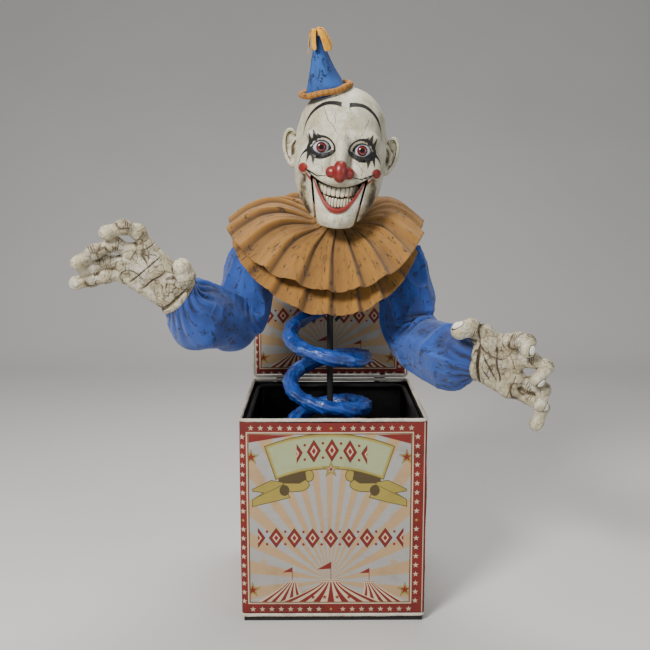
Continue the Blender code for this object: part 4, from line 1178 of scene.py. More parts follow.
def open_face(clay):
    """Cuts a hollow, the eyes, and the mouth with the jaw's slots below it."""
    x, y, z = clay.axes[0][:, None, None], clay.axes[1][None, :, None], clay.axes[2][None, None, :]
    hollow = np.maximum(egg(clay, -0.011), clay.field + 0.006)
    clay.field = np.maximum(clay.field, -hollow)
    almond = eye_opening(np.abs(x) - EYE_MIDDLE, z)
    tunnel = np.maximum(almond, y + 0.088)
    clay.field = np.maximum(clay.field, -tunnel)
    slot = np.maximum(np.maximum(np.abs(x) - jaw_edge(z) - 0.0030, z - lip_line(x)), y + 0.025)
    clay.field = np.maximum(clay.field, -slot)
    for centre in EYES.values():
        clay.ball(centre, (EYE_RADIUS + 0.0006,) * 3, 0, carve=True)
    neck = np.hypot(x, y - 0.030) - 0.036
    clay.field = np.maximum(clay.field, -np.maximum(neck, z + 0.062))
    hem = -0.150 + 0.6 * clamp(y + 0.075, 0, 0.06)
    clay.field = np.maximum(clay.field, hem - z)
    clay.field[0], clay.field[-1] = 1, 1


def skin_paint(points, hollow, normals):
    """Masks of black and red paint, grime and painted shade in the hollows and grooves, and white round the
    eyes.
    """
    x, y, z = points.T
    side, front = np.abs(x), ease(-0.02, -0.05, y)
    brow = through([point + (wide,) for point, wide in zip(BROW, BROW_WIDTHS)], 30)
    black = np.maximum(stroke(side, z, brow[:, :2], brow[:, 2]), 0.0080 - side)
    tail = through([point + (wide,) for point, wide in zip(TAIL, TAIL_WIDTHS)], 20)
    black = np.minimum(black, stroke(side, z, tail[:, :2], tail[:, 2]))
    for start, end, wide in LASHES:
        black = np.minimum(black, stroke(side, z, (start, end), (wide, 0.0002)))
    eye = eye_opening(side - EYE_MIDDLE, z)
    outer = clamp((side - 0.028) / 0.030)
    lid = np.abs(eye - 0.0075) - 0.0018 - 0.0016 * outer
    under = np.maximum(np.abs(eye - 0.0060) - 0.0050 - 0.0030 * outer, z + 0.002)
    black = np.minimum(black, np.where(z > -0.004, lid, under))
    black = np.minimum(black, np.where(z > -0.004, eye - 0.0009, 1))
    lip = np.maximum(np.abs(z - lip_line(x) - 0.0010) - 0.0014, side - 0.074)
    black = np.minimum(black, lip)
    slot = np.maximum(np.abs(side - jaw_edge(z) - 0.0012) - 0.0024, np.maximum(z + 0.060, y + 0.02))
    black = np.minimum(black, slot)
    rim = [ear_rim(share) for share in np.linspace(0.05, 0.85, 12)]
    rim = [(0.0985 + across * 0.93 + 0.16 * up, up * 0.92) for across, up in rim]
    ear = np.where((side > 0.101) & (y < 0.006), stroke(side, z, rim, (0.0010,) * 12), 1)
    black = np.minimum(np.where(front > 0, black, 1), ear)
    dot = np.hypot(side - CHEEK_DOT[0], z - CHEEK_DOT[1]) - 0.0100
    cheek_line = stroke(side, z, ((0.058, -0.070), (0.072, -0.056)), (0.0026, 0.0008))
    red = np.where(front > 0, np.minimum(dot, cheek_line), 1)
    # Soft painted shade along the cheek grooves and beside the nose.
    groove_shade = stroke(side, z, CHEEK_GROOVE, (0.001, 0.003, 0.003, 0.001))
    nose_side_shade = stroke(side, z, NOSE_SHADE, (0.0004, 0.0016, 0.0030, 0.001))
    # This mask is painted shade in the hollows and along the grooves by the cheeks and nose, dirt in random
    # patches, and darker patches towards the chin.
    grime = clamp(hollow * 620 - 0.10) + 0.30 * ease(0.1, 0.8, wobble(points, 0.045, 4))
    grime = grime + (0.75 * ease(0.010, -0.002, groove_shade) + 0.35 * ease(0.004, -0.002, nose_side_shade)) * front
    grime = grime + 0.28 * ease(-0.030, -0.100, z) * ease(-0.5, 0.4, wobble(points, 0.022, 14))
    outward = np.sum(normals * unit(points * (1.0, 1.0, 0.3)), axis=1)
    inside = ease(0.0045, 0.0075, -egg_depth(points)) * (side < 0.100) * ease(0.40, 0.15, outward)
    return {"black": clamp(black, -0.01, 0.01), "red": clamp(red, -0.01, 0.01), "grime": clamp(grime),
            "inside": inside}


def egg_depth(points):
    """How far inside the head's even form each point lies, below 0 inside."""
    half, front, back = section_at(points[:, 2])
    deep = np.maximum((front + back) / 2, 0.001)
    near = np.hypot(points[:, 0] / np.maximum(half, 0.001), (points[:, 1] - (back - front) / 2) / deep)
    return np.maximum((near - 1) * np.minimum(half, deep), points[:, 2] - HEAD_SECTIONS[0][0])


def make_head(skin):
    step = 0.0015
    clay = Clay((-0.135, -0.142, -0.172), (0.135, 0.136, 0.150), step)
    clay.field = egg(clay, 0.0)
    model_face(clay)
    open_face(clay)
    points, faces, normals, hollow = finished_skin(clay)
    paint = skin_paint(points, hollow, normals)
    piece("head_skin", points, faces, skin, "head", "ivory_latex", ("head_shell", "right_ear", "left_ear"),
          HEAD_FRAME, **paint)


def make_jaw(skin):
    """The ventriloquist's jaw: chin, lower lip, and the floor of the mouth behind it."""
    clay = Clay((-0.072, -0.134, -0.178), (0.072, -0.030, -0.060), 0.0012)
    clay.field = egg(clay, 0.0)
    clay.ball((0, -0.098, -0.150), (0.026, 0.018, 0.016), 0.010)
    clay.path([(0, -0.118, -0.146), (0, -0.112, -0.166)], (0.0012, 0.002), 0.004, carve=True)
    x, y, z = clay.axes[0][:, None, None], clay.axes[1][None, :, None], clay.axes[2][None, None, :]
    lip = [(s, -0.1095 + 9.0 * s * s, lower_lip(s)) for s in np.linspace(-0.0500, 0.0500, 21)]
    clay.path(lip, [0.0070 - 28 * abs(s) ** 3 for s in np.linspace(-0.050, 0.050, 21)], 0.003)
    clay.field = np.maximum(clay.field, np.abs(x) - jaw_edge(z) + 0.0010)
    clay.field = np.maximum(clay.field, z - lip_line(x) + 0.0020)
    clay.field = np.maximum(clay.field, y + 0.0415)
    hollow = np.maximum(egg(clay, -0.007), -(z + 0.152))
    clay.field = np.maximum(clay.field, -hollow)
    mouth = np.maximum(lower_lip(x * 1.04) + 0.0035 - z, y + 0.070)
    clay.field = np.maximum(clay.field, -mouth)
    points, faces, _, depth = finished_skin(clay)
    x, y, z = points.T
    red = np.where(y < -0.066, np.abs(z - lower_lip(x)) - 0.0072 + 26 * np.abs(x) ** 3, 0.01)
    edge = np.where(y < -0.066, np.abs(red - 0.0012) - 0.0008, 0.01)
    off_lip = ease(-0.0052, -0.0070, np.abs(z - lower_lip(x)) * -1)
    paint = {"black": clamp(edge, -0.01, 0.01), "red": clamp(red, -0.01, 0.01),
             # Painted shade in the hollows of the chin and lip, with dirt in random patches:
             "grime": clamp(depth * 700 - 0.1) + 0.3 * ease(0.2, 0.9, wobble(points, 0.03, 8)),
             "inside": ease(0.004, 0.006, -egg_depth(points)) * off_lip}
    piece("jaw_skin", points, faces, skin, "jaw", "ivory_latex", ("jaw_shell",), HEAD_FRAME, **paint)


def make_teeth(name, node, body, look, centre_y, radius, low, high, count, spread, curve):
    """Uneven teeth set side by side round an arch, with a strip of gum behind their roots."""
    rows, columns = 14, 16
    tilt = np.linspace(-math.pi / 2, math.pi / 2, rows)[:, None]
    turn = np.linspace(0, 2 * math.pi, columns, endpoint=False)[None]

    def squared(values, power):
        return np.sign(values) * np.abs(values) ** power

    level = squared(np.cos(tilt), 0.45)
    form = np.stack([level * squared(np.cos(turn), 0.5), level * squared(np.sin(turn), 0.8),
                     squared(np.sin(tilt), 0.55) + 0 * turn], -1)
    all_points, all_faces = [], []
    pitch = 2 * spread / count
    for k in range(count):
        angle = -spread + pitch * (k + 0.5)
        wide = radius * pitch / 2 * (0.88 + 0.05 * math.sin(2.3 * k))
        tall = (high - low) / 2 * (1 - 0.05 * math.cos(1.7 * k))
        lift = curve * (radius * math.sin(angle)) ** 2
        size = form * (wide, 0.0034, tall)
        out = np.array([math.sin(angle), -math.cos(angle), 0])
        across = np.array([math.cos(angle), math.sin(angle), 0])
        centre = out * (radius - 0.0034) + np.array([0, centre_y, (low + high) / 2 + lift])
        all_points.append(centre + size[..., :1] * across + size[..., 1:2] * -out + size[..., 2:] * Z)
        all_faces.append(grid_faces(rows, columns, wrap_columns=True) + k * rows * columns)
    points = np.concatenate([p.reshape(-1, 3) for p in all_points])
    root = high if body == "head" else low
    sweep = np.linspace(-spread, spread, 60)
    gum_line = np.stack([(radius - 0.0045) * np.sin(sweep), centre_y - (radius - 0.0045) * np.cos(sweep),
                         root + curve * (radius * np.sin(sweep)) ** 2 + 0 * sweep], 1)
    radii = np.full((60, 12), 0.0042) * (1 + 0.15 * wobble(gum_line, 0.006, 3)[:, None])
    gum, _, _ = tube_points(gum_line, radii, Z)
    faces = np.concatenate(all_faces + [grid_faces(60, 12, wrap_columns=True) + len(points),
                                        caps(60, 12) + len(points)])
    roots = np.concatenate([ease(0.55, 1.0, np.abs(points[:, 2] - (low + high) / 2 - curve * points[:, 0] ** 2)
                                 / ((high - low) / 2)) * (np.sign(points[:, 2] - (low + high) / 2)
                                                          == np.sign(root - (low + high) / 2)),
                            np.ones(gum[..., 0].size)])
    is_gum = np.concatenate([np.zeros(len(points)), np.ones(gum[..., 0].size)])
    points = np.concatenate([points, gum.reshape(-1, 3)])
    piece(name, points, faces, look, body, "teeth", (node,), HEAD_FRAME, gum=is_gum, root=roots)


def make_eye(name, look):
    """An eyeball with its clear front raised a little over the iris."""
    rows, columns = 72, 96
    tilt = np.linspace(0.0005, math.pi - 0.0005, rows)[:, None]
    turn = np.linspace(0, 2 * math.pi, columns, endpoint=False)[None]
    radius = EYE_RADIUS - 0.0012 + 0.0011 * ease(0.62, 0.30, tilt)
    points = np.stack([radius * np.sin(tilt) * np.cos(turn), -radius * np.cos(tilt) + 0 * turn,
                       radius * np.sin(tilt) * np.sin(turn)], -1)
    faces = grid_faces(rows, columns, wrap_columns=True)[:, ::-1]
    piece(name + "_ball", points, faces, look, "head", "eye", (name,),
          HEAD_FRAME @ Matrix.Translation(EYES[name]))


def make_nose(look):
    clay = Clay((-0.040, -0.160, -0.076), (0.040, -0.098, -0.020), 0.0010)
    clay.ball((0.0, -0.129, -0.048), (0.0165, 0.0200, 0.0235), 0.003)
    for side in (-1, 1):
        clay.ball((side * 0.0170, -0.121, -0.0505), (0.0140, 0.0150, 0.0135), 0.004)
    points, faces, _, hollow = finished_skin(clay)
    # Its dark mask is painted shade in the hollows round the lobes.
    piece("nose_rubber", points, faces, look, "head", "red_paint", ("nose",), HEAD_FRAME,
          grime=clamp(hollow * 900))


# ---- The hat ----
HAT_CENTRE = Vector((-0.045, -0.024, 0.129))
HAT_AXIS = Vector((-0.32, -0.28, 1.0)).normalized()
HAT_FRAME = HEAD_FRAME @ Matrix.Translation(HAT_CENTRE) @ HAT_AXIS.to_track_quat("Z", "Y").to_matrix().to_4x4()
HAT_TALL = 0.112


def make_hat(cloth, ochre, tassel_look):
    """A limp felt cone, dented and leaning at its tip, in a gathered ochre roll."""
    rows, columns = 90, 160
    share = np.linspace(0, 1, rows)[:, None]
    turn = np.linspace(0, 2 * math.pi, columns, endpoint=False)[None]
    around = np.stack([np.cos(turn) + 0 * share, np.sin(turn) + 0 * share, 2 * share + 0 * turn], -1)
    height = -0.010 + (HAT_TALL + 0.010) * share
    radius = 0.0465 + (0.0040 - 0.0465) * share
    dents = 0.0024 * wobble(around, (0.7, 0.7, 0.9), 3) + 0.0030 * (ridges(around, (0.5, 0.5, 1.4), 6) - 0.4)
    radius = radius + dents * np.sin(math.pi * clamp(share * 0.9 + 0.1)) ** 0.7
    lean = 0.012 * share ** 1.5
    points = np.stack([radius * np.cos(turn) + lean, radius * np.sin(turn), height + 0 * turn], -1)
    flat = np.stack([turn * 0.03 + 0 * share, height + 0 * turn, 0 * radius], -1)
    # The fold attribute marks the dents, where painted shade goes.
    hat = piece("hat_cloth", points, grid_faces(rows, columns, wrap_columns=True), cloth, "head", "blue_cloth",
                ("hat_cone",), HAT_FRAME, flat=flat.reshape(-1, 3), fold=clamp(-dents * 350).ravel())
    thicken(hat, 0.0016)
    sweep = np.linspace(0, 2 * math.pi, 720, endpoint=False)
    line = np.stack([0.0550 * np.cos(sweep), 0.0550 * np.sin(sweep), 0.0012 * np.sin(5 * sweep)], 1)
    angles = np.linspace(0, 2 * math.pi, 24, endpoint=False)[None]
    gathers = 0.035 * np.sin(31 * sweep + 2.5 * wobble(line, 0.02, 3))[:, None] * (0.6 + 0.4 * np.cos(angles))
    radii = 0.0068 * (0.95 + gathers + 0.12 * wobble(line, 0.012, 5)[:, None])
    points, _, _ = tube_points(line, radii, Z, closed=True)
    flat = np.stack([sweep[:, None] * 0.055 + 0 * angles, angles * 0.006 + 0 * sweep[:, None], 0 * radii], -1)
    # The fold attribute marks the gathers, where painted shade goes.
    piece("hat_roll", points, grid_faces(720, 24, True, True), ochre, "head", "ochre_cloth", ("hat_brim",),
          HAT_FRAME, flat=flat.reshape(-1, 3), fold=clamp(-gathers * 14 + 0 * radii).ravel())
    make_tassel(tassel_look)


def make_tassel(look):
    """Felt strips tied at the hat's tip, some standing and some drooping down the cone."""
    strips, rows = 12, 14
    all_points, all_faces = [], []
    for k in range(strips):
        angle = 2 * math.pi * k / strips + 0.5 * math.sin(3.1 * k)
        droop = 0.35 + 0.65 * (0.5 + 0.5 * math.sin(2.4 * k + 1))
        out = np.array([math.cos(angle), math.sin(angle), 0])
        side = np.array([-math.sin(angle), math.cos(angle), 0])
        share = np.linspace(0, 1, rows)[:, None]
        rise = 0.017 * (1 - 0.45 * droop)
        line = (HAT_TALL - 0.001) * Z + 0.012 * X + out * (0.0020 + (0.019 + 0.008 * droop) * share ** 0.8)
        arch = 0.8 * rise * np.sin(math.pi * share ** 0.7)
        line = line + Z * (arch + 0.009 - (0.018 + 0.024 * droop) * share ** 1.8)
        ragged = (1 - 0.15 * share) * (1 + 0.15 * np.sin(9 * share + k))
        wide = 0.0032 + 0.0026 * ease(0.0, 0.35, share) * ragged
        rim = np.concatenate([line - side * wide, line + side * wide * 0.9], 1).reshape(rows, 2, 3)
        rim = np.stack([rim[:, 0], (rim[:, 0] + rim[:, 1]) / 2 + out * 0.0012, rim[:, 1]], 1)
        all_points.append(rim.reshape(-1, 3))
        all_faces.append(grid_faces(rows, 3) + k * rows * 3)
    tassel = piece("hat_tassel_strips", np.concatenate(all_points), np.concatenate(all_faces), look, "head",
                   "ochre_cloth", ("hat_tassel",), HAT_FRAME)
    thicken(tassel, 0.0011, offset=0.0)
    soft = tassel.modifiers.new("soft", "SUBSURF")
    soft.levels = soft.render_levels = 1


# ---- The hands ----
def hand_frame(arm):
    wrist, palm = np.array(arm["wrist"]), np.array(arm["palm"])
    along = unit(palm - wrist)
    across = unit(np.cross(along, Z))
    return wrist, palm, along, across, unit(np.cross(across, along))


def finger_back(places):
    """The direction of a finger's back: the outside of its bend."""
    steps = unit(np.diff(places, axis=0))
    return unit(steps[0] - steps[-1] - steps[-1] * ((steps[0] - steps[-1]) @ steps[-1]))


def make_hand(name, node, arm, fingers, body, look, turned=0.0):
    """A latex glove hand: knotted fingers with set-in nails, tendons, palm creases and a rolled cuff."""
    wrist, palm, along, across, up = hand_frame(arm)
    places = {label: wrist + np.array(points) for label, points in fingers.items()}
    reach = np.concatenate(list(places.values()) + [[wrist, palm]])
    clay = Clay(reach.min(0) - 0.055, reach.max(0) + 0.055, 0.0012)
    knuckles = [places[f][0] for f in ("index", "middle", "ring", "little")]
    clay.limb(wrist - along * 0.010, wrist + along * 0.034, 0.0365, 0.036, 0.006)
    for k, knuckle in enumerate(knuckles):
        root = wrist + along * 0.034 + (knuckle - np.mean(knuckles, 0)) * 0.55
        clay.limb(root, knuckle, 0.0250, 0.0170, 0.008)
    for first, second in zip(knuckles, knuckles[1:]):
        clay.limb(first, second, 0.0150, 0.0150, 0.012)
    clay.limb(wrist + along * 0.030, places["thumb"][0], 0.030, 0.022, 0.014)
    clay.limb(places["thumb"][0], palm, 0.020, 0.021, 0.016)
    clay.ball((places["thumb"][0] + places["thumb"][1]) / 2, (0.0265,) * 3, 0.016)
    nails = []
    for label, joints in places.items():
        thick = 0.0195 if label == "thumb" else 0.0154
        shares = (1.04, 0.94, 0.89, 0.90)
        for i in range(3):
            clay.limb(joints[i], joints[i + 1], thick * shares[i], thick * shares[i + 1], 0.005)
        for i in (1, 2):
            clay.ball(joints[i], (thick * (shares[i] + 0.15),) * 3, 0.007)
        forward = unit(joints[3] - joints[2])
        back = finger_back(joints) * (1 - turned) + Y * turned
        back = unit(back - forward * (back @ forward))
        tip = joints[3] + forward * thick * 0.10
        clay.ball(tip - back * 0.002, (thick * 0.93,) * 3, 0.005)
        nails.append((tip + forward * thick * 0.18 + back * thick * 0.62, forward, back, thick))
    turns = np.linspace(0, 2 * math.pi, 33)
    spokes = [across * math.cos(t) + up * math.sin(t) for t in turns]
    sway = [0.0012 * math.sin(3 * t) for t in turns]
    cuff = [wrist + along * (0.0205 + s) + 0.0415 * spoke for s, spoke in zip(sway, spokes)]
    clay.path(cuff, (0.0078,) * 33, 0.002)
    points, faces, normals, hollow = finished_skin(clay, 2, 12)
    points, marks = carve_skin(points, normals, places, nails, palm, wrist, along)
    tips = np.min([np.linalg.norm(points - joints[3], axis=1) for joints in places.values()], axis=0)
    # Painted shade in the hollows and creases, dirt in random patches, and all of it fainter near the
    # fingertips.
    grime = clamp(hollow * 620 - 0.02) + marks["crease"] * 1.1
    grime = grime + 0.30 * ease(0.0, 0.9, wobble(points, 0.030, 6))
    grime = (grime + 0.22) * (0.25 + 0.75 * ease(0.014, 0.034, tips))
    piece(name, points, faces, look, body, "ivory_latex", (node,), grime=clamp(grime), black=marks["black"],
          nail=marks["nail"])


def carve_skin(points, normals, places, nails, palm, wrist, along):
    """Wrinkles over the joints, palm creases and nails, moved into the skin and marked for the paint."""
    crease = np.zeros(len(points))
    black, nail = np.full(len(points), 0.01), np.full(len(points), 0.01)
    for label, joints in places.items():
        steps = unit(np.diff(joints, axis=0))
        for i in (1, 2):
            gap = points - joints[i]
            near = np.linalg.norm(gap, axis=1) < 0.023
            axis = unit(steps[i - 1] + steps[i])
            far = gap[near] @ axis + 0.0012 * wobble(points[near], 0.006, i)
            beside = np.maximum(hump(far, 0.0048, 0.0008), hump(far, -0.0048, 0.0008))
            lines = np.maximum(hump(far, 0, 0.0011), beside)
            lines = lines * ease(-0.5, 0.3, wobble(points[near], 0.014, 40 + i))
            crease[near] = np.maximum(crease[near], 0.85 * lines)
        gap = points - joints[0] - (joints[0] - joints[1]) * 0.1
        near = np.linalg.norm(gap, axis=1) < 0.022
        crease[near] = np.maximum(crease[near], 0.7 * hump(gap[near] @ steps[0], 0.004, 0.0010))
    for k, (share, turn) in enumerate(((0.55, 0.5), (0.78, 0.35), (1.05, 0.15))):
        sway = unit(along + turn * Z)
        far = (points - wrist - (palm - wrist) * share) @ sway + 0.006 * wobble(points, 0.035, 11 + k)
        inner = ease(0.050, 0.036, np.linalg.norm(points - palm, axis=1))
        crease = np.maximum(crease, hump(far, 0, 0.0019) * inner)
    for size, seed, share in (((0.034, 0.026, 0.044), 21, 0.9), ((0.015, 0.015, 0.022), 31, 0.55)):
        fold = ridges(points, size, seed) ** 6 * ease(-0.4, 0.3, wobble(points, 0.04, seed + 1))
        crease = np.maximum(crease, share * fold)
    far = (points - wrist) @ along
    crease = np.maximum(crease, 0.9 * hump(far, 0.0290, 0.0016))
    fine = ridges(points, 0.010, 3) ** 4
    crease = np.maximum(crease, 0.55 * fine)
    moved = points - normals * (0.0022 * crease)[:, None]
    for centre, forward, back, thick in nails:
        gap = points - centre
        side = np.cross(forward, back)
        flat = np.sqrt((gap @ forward / (thick * 0.62)) ** 2 + (gap @ side / (thick * 0.50)) ** 2)
        facing = (normals @ back > 0.15) & (np.linalg.norm(gap, axis=1) < thick * 1.3)
        edge = (flat - 1) * thick * 0.5
        nail = np.minimum(nail, np.where(facing, edge, 0.01))
        black = np.minimum(black, np.where(facing, np.abs(edge - 0.0009) - 0.0006, 0.01))
        moved = moved + normals * (0.0008 * ease(0.0, -0.0010, edge) * facing)[:, None]
        moved = moved - normals * (0.0010 * hump(edge, 0.0009, 0.0009) * facing)[:, None]
    return moved, {"crease": clamp(crease), "black": black, "nail": nail}


# ---- Looks of the finished pieces ----
def painted_latex(name, colour=rgb(196, 190, 168), warm=0.5):
    """Pale latex, stained olive and brown, speckled, darkened in its hollows by grime and painted shade, and
    crazed.
    """
    look = Look(name, colour, 0.5)
    look.layer(rgb(150, 140, 100), look.noise(0.045, 5, 0.65).between(0.44, 0.66) * (0.35 + 0.5 * warm))
    look.layer(rgb(222, 220, 208), look.noise(0.030, 4, 0.6).between(0.50, 0.66) * 0.7)
    look.layer(rgb(108, 88, 50), look.noise(0.0050, 5, 0.8).between(0.52, 0.66) * (0.35 * warm + 0.20))
    flecks = look.noise(0.0017, 2, 0.6).between(0.61, 0.65) * look.noise(0.030, 3).between(0.42, 0.58)
    look.layer(rgb(54, 40, 24), flecks * 0.8)
    # Grime and painted shade, brown and then near black, where the mesh's mask is high.
    grime = look.attribute("grime")
    patchy = look.noise(0.010, 4, 0.7).between(0.30, 0.62) * 0.6 + 0.5
    look.layer(rgb(100, 80, 46), (grime * patchy).between(0.05, 0.8) * 0.85)
    look.layer(rgb(34, 24, 16), (grime * grime * patchy).between(0.20, 0.9) * 0.85)
    crazing = look.cracks((0.016, 0.016, 0.022), 0.008) * look.noise(0.022, 2).between(0.52, 0.60)
    look.layer(rgb(46, 34, 22), crazing * 0.7)
    look.rough(look.noise(0.02, 4) * 0.30 + 0.34)
    look.bump(look.noise(0.0030, 5, 0.75), 0.0007, 0.7)
    look.bump(look.cracks((0.016, 0.016, 0.022), 0.012), 0.0004, -0.6)
    return look


def ink(look, colour, share):
    """Thick paint, rubbed through here and there."""
    look.layer(colour, share * look.noise(0.0014, 4, 0.7).between(0.30, 0.38))


def face_look():
    """The make-up: red dots and lip, black brows, eyes, creases and cracks."""
    look = painted_latex("face_latex")
    x, y, z = look.position()
    stray = (look.noise(0.0060, 3, 0.7) - 0.5) * 0.005
    x, z = x + stray, z - stray
    side, front = abs(x), (y + 0.030).inside(0.010)
    ink(look, rgb(128, 26, 18), look.attribute("red").inside(0.0007))
    ink(look, rgb(15, 13, 13), look.attribute("black").inside(0.0007))
    cracks = drawn(x, z, CRACKS[0], np.linspace(0.0007, 0.0004, len(CRACKS[0])))
    for line in CRACKS[1:]:
        cracks = cracks.least(drawn(x, z, line, np.linspace(0.0003, 0.0006, len(line))))
    cracks = cracks.inside(0.0004) * front
    ink(look, rgb(26, 18, 13), cracks)
    folds = drawn(side, z, LIP_CREASES, (0.0007, 0.0010, 0.0013, 0.0018, 0.0012)).inside(0.0006) * front
    ink(look, rgb(24, 16, 12), folds)
    look.layer(rgb(74, 54, 34), drawn(side, z, FROWN, (0.0004, 0.0007, 0.0002)).inside(0.0010) * front * 0.7)
    crazed = (abs(look.noise((0.030, 0.020, 0.030), 4, 0.6) - 0.5) - 0.003).inside(0.005)
    crazed = crazed * look.noise(0.025, 2).between(0.46, 0.58)
    look.layer(rgb(70, 54, 34), crazed * 0.7)
    look.bump(crazed, 0.0005, -0.6)
    look.layer(rgb(8, 7, 8), look.attribute("inside"))
    look.bump(cracks.most(folds), 0.0010, -0.8)
    return look


def hand_look():
    """Latex hands with a brown wash, pale nails outlined in black."""
    look = painted_latex("hand_latex", rgb(198, 190, 164), 0.45)
    look.layer(rgb(112, 92, 58), look.noise((0.012, 0.012, 0.020), 5, 0.75).between(0.52, 0.66) * 0.6)
    wrinkles = (abs(look.noise((0.016, 0.010, 0.016), 3, 0.6) - 0.5) - 0.006).inside(0.008)
    wrinkles = wrinkles.most(look.cracks((0.012, 0.009, 0.012), 0.012) * 0.8)
    wrinkles = wrinkles * look.noise(0.02, 2).between(0.40, 0.55)
    look.layer(rgb(58, 44, 26), wrinkles * 0.8)
    look.bump(wrinkles, 0.0006, -0.7)
    look.layer(rgb(222, 218, 204), look.attribute("nail").inside(0.0006) * 0.9)
    ink(look, rgb(18, 14, 12), look.attribute("black").inside(0.0005))
    return look


def eye_look(name):
    """A white ball with veins, a dark red iris of fine rays, and a black pupil, under a clear coat."""
    look = Look(name, rgb(188, 192, 204), 0.12, coat_weight=0.7, coat_roughness=0.05)
    x, y, z = look.position()
    far = look.math("SQRT", x * x + z * z)
    turn = look.math("ARCTAN2", x, z)
    veins = look.noise(0.0035, 5, 0.75, 1.5).between(0.55, 0.66) * far.between(0.009, 0.019)
    look.layer(rgb(150, 60, 44), veins * 0.6)
    look.layer(rgb(12, 8, 8), (far - 0.0112).inside(0.0008))
    rays = look.math("SINE", turn * 34.0 + look.noise(0.002, 3) * 9.0)
    look.layer(rgb(100, 28, 30), (far - 0.0100).inside(0.0007))
    look.layer(rgb(52, 10, 8), rays.between(0.0, 1.0) * (far - 0.0100).inside(0.0007) * 0.7)
    look.layer(rgb(128, 48, 32), (abs(far - 0.0062) - 0.0010).inside(0.0016) * rays.between(0.4, -0.6) * 0.5)
    look.layer(rgb(4, 3, 3), (far - 0.0050).inside(0.0006))
    look.rough(look.noise(0.01) * 0.08 + 0.07)
    look.bump(look.noise(0.004, 3), 0.0001, 0.5)
    return look


def nose_look():
    look = Look("red_rubber", rgb(118, 20, 15), 0.3, coat_weight=0.35, coat_roughness=0.2)
    # Painted highlight: lighter red in patches.
    look.layer(rgb(146, 48, 36), look.noise(0.012, 5, 0.7).between(0.50, 0.70) * 0.5)
    # Painted shade in the hollows round the lobes.
    look.layer(rgb(58, 10, 10), look.attribute("grime").between(0.1, 0.8) * 0.9)
    look.layer(rgb(40, 12, 10), look.noise(0.0018, 3, 0.7).between(0.60, 0.66) * 0.7)
    look.rough(look.noise(0.006, 4) * 0.30 + 0.26)
    look.bump(look.noise(0.0028, 4, 0.7), 0.0004, 0.6)
    return look


def teeth_look():
    look = Look("stained_teeth", rgb(212, 204, 178), 0.3, coat_weight=0.3, coat_roughness=0.15)
    look.layer(rgb(120, 92, 48), look.noise((0.004, 0.004, 0.012), 4, 0.7).between(0.45, 0.75) * 0.7)
    look.layer(rgb(58, 38, 20), look.attribute("root") * look.noise(0.002, 3).between(0.25, 0.6) * 0.9)
    look.layer(rgb(70, 18, 16), look.attribute("gum"))
    look.rough(look.noise(0.004) * 0.25 + 0.18)
    look.bump(look.noise((0.0012, 0.0012, 0.006), 3), 0.0002, 0.6)
    return look


def satin_look():
    look = Look("blue_satin", rgb(34, 78, 164), 0.25, flat=True, coat_weight=0.25, coat_roughness=0.2)
    # Painted shade: dark navy in broad patches.
    look.layer(rgb(24, 34, 88), look.noise((0.03, 0.09, 0.03), 4).between(0.45, 0.65) * 0.7)
    # Painted highlight: pale blue streaks along the tube, for the satin's sheen.
    look.layer(rgb(88, 138, 196), look.noise((0.012, 0.05, 0.02), 4, 0.6).between(0.55, 0.80) * 0.6)
    # Painted shade in the folds.
    shaded_by(look, "fold", rgb(20, 22, 54), 0.8)
    look.rough(look.noise((0.02, 0.05, 0.02), 4) * 0.20 + 0.15)
    look.bump(look.noise((0.006, 0.030, 0.01), 5, 0.7), 0.0012, 0.6)
    weave(look, 0.0007, 0.00005)
    return look


def lining_look():
    look = Look("black_lining", rgb(20, 18, 18), 0.9)
    look.layer(rgb(44, 38, 34), look.noise(0.03, 5, 0.7).between(0.5, 0.8) * 0.6)
    look.rough(look.noise(0.01) * 0.2 + 0.74)
    look.bump(look.noise(0.0014, 4, 0.8), 0.0004, 0.6)
    return look


def cord_look():
    look = Look("ivory_piping", rgb(196, 188, 172), 0.75)
    look.layer(rgb(120, 106, 84), look.noise(0.02, 5, 0.7).between(0.48, 0.75) * 0.7)
    look.layer(rgb(74, 60, 46), look.noise(0.005, 4, 0.75).between(0.60, 0.74) * 0.7)
    look.rough(look.noise(0.01) * 0.2 + 0.62)
    look.bump(look.noise(0.0010, 3, 0.8), 0.0003, 0.7)
    return look


def metal_look(name, colour, worn, roughness, metallic):
    """Painted or bare metal: worn through in patches, dusty, and lightly brushed."""
    look = Look(name, colour, roughness, metallic=metallic)
    look.layer(worn, look.noise(0.012, 5, 0.75).between(0.60, 0.74) * 0.7)
    look.layer(rgb(86, 78, 66), look.noise(0.06, 5, 0.6).between(0.50, 0.85) * 0.25)
    look.rough(look.noise((0.004, 0.03, 0.03), 4) * 0.25 + (roughness - 0.1))
    look.bump(look.noise(0.0035, 4, 0.7), 0.0002, 0.5)
    return look


def moulded_look(name, colour, light, roughness, grain=0.0012):
    """Moulded plastic: fine grain, scuffs and a little dust."""
    look = Look(name, colour, roughness)
    look.layer(light, look.noise((0.02, 0.004, 0.02), 5, 0.75).between(0.60, 0.78) * 0.5)
    look.layer(light, look.noise(0.07, 4).between(0.45, 0.85) * 0.3)
    look.rough(look.noise(0.01, 4) * 0.2 + (roughness - 0.08))
    look.bump(look.noise(grain, 3, 0.8), 0.0002, 0.6)
    return look


STEEL_NODES = ("base_plate", "bottom_ring", "top_ring", "corner_post_front_left", "corner_post_front_right",
               "corner_post_rear_left", "corner_post_rear_right", "mast_socket", "outer_mast", "inner_mast",
               "mast_brace", "shoulder_yoke", "torso_plate", "box_hinge_leaf_left", "box_hinge_leaf_right",
               "lid_hinge_leaf_left", "lid_hinge_leaf_right")
PLASTIC_NODES = ("gear_motor", "control_box", "dc_inlet", "speaker", "neck_servo", "jaw_servo", "power_switch",
                 "right_upper_arm_bar", "left_upper_arm_bar", "right_forearm_bar", "left_forearm_bar")
BRIGHT_NODES = ("neck_shaft", "jaw_axle")
NYLON_NODES = ("rack", "pinion")


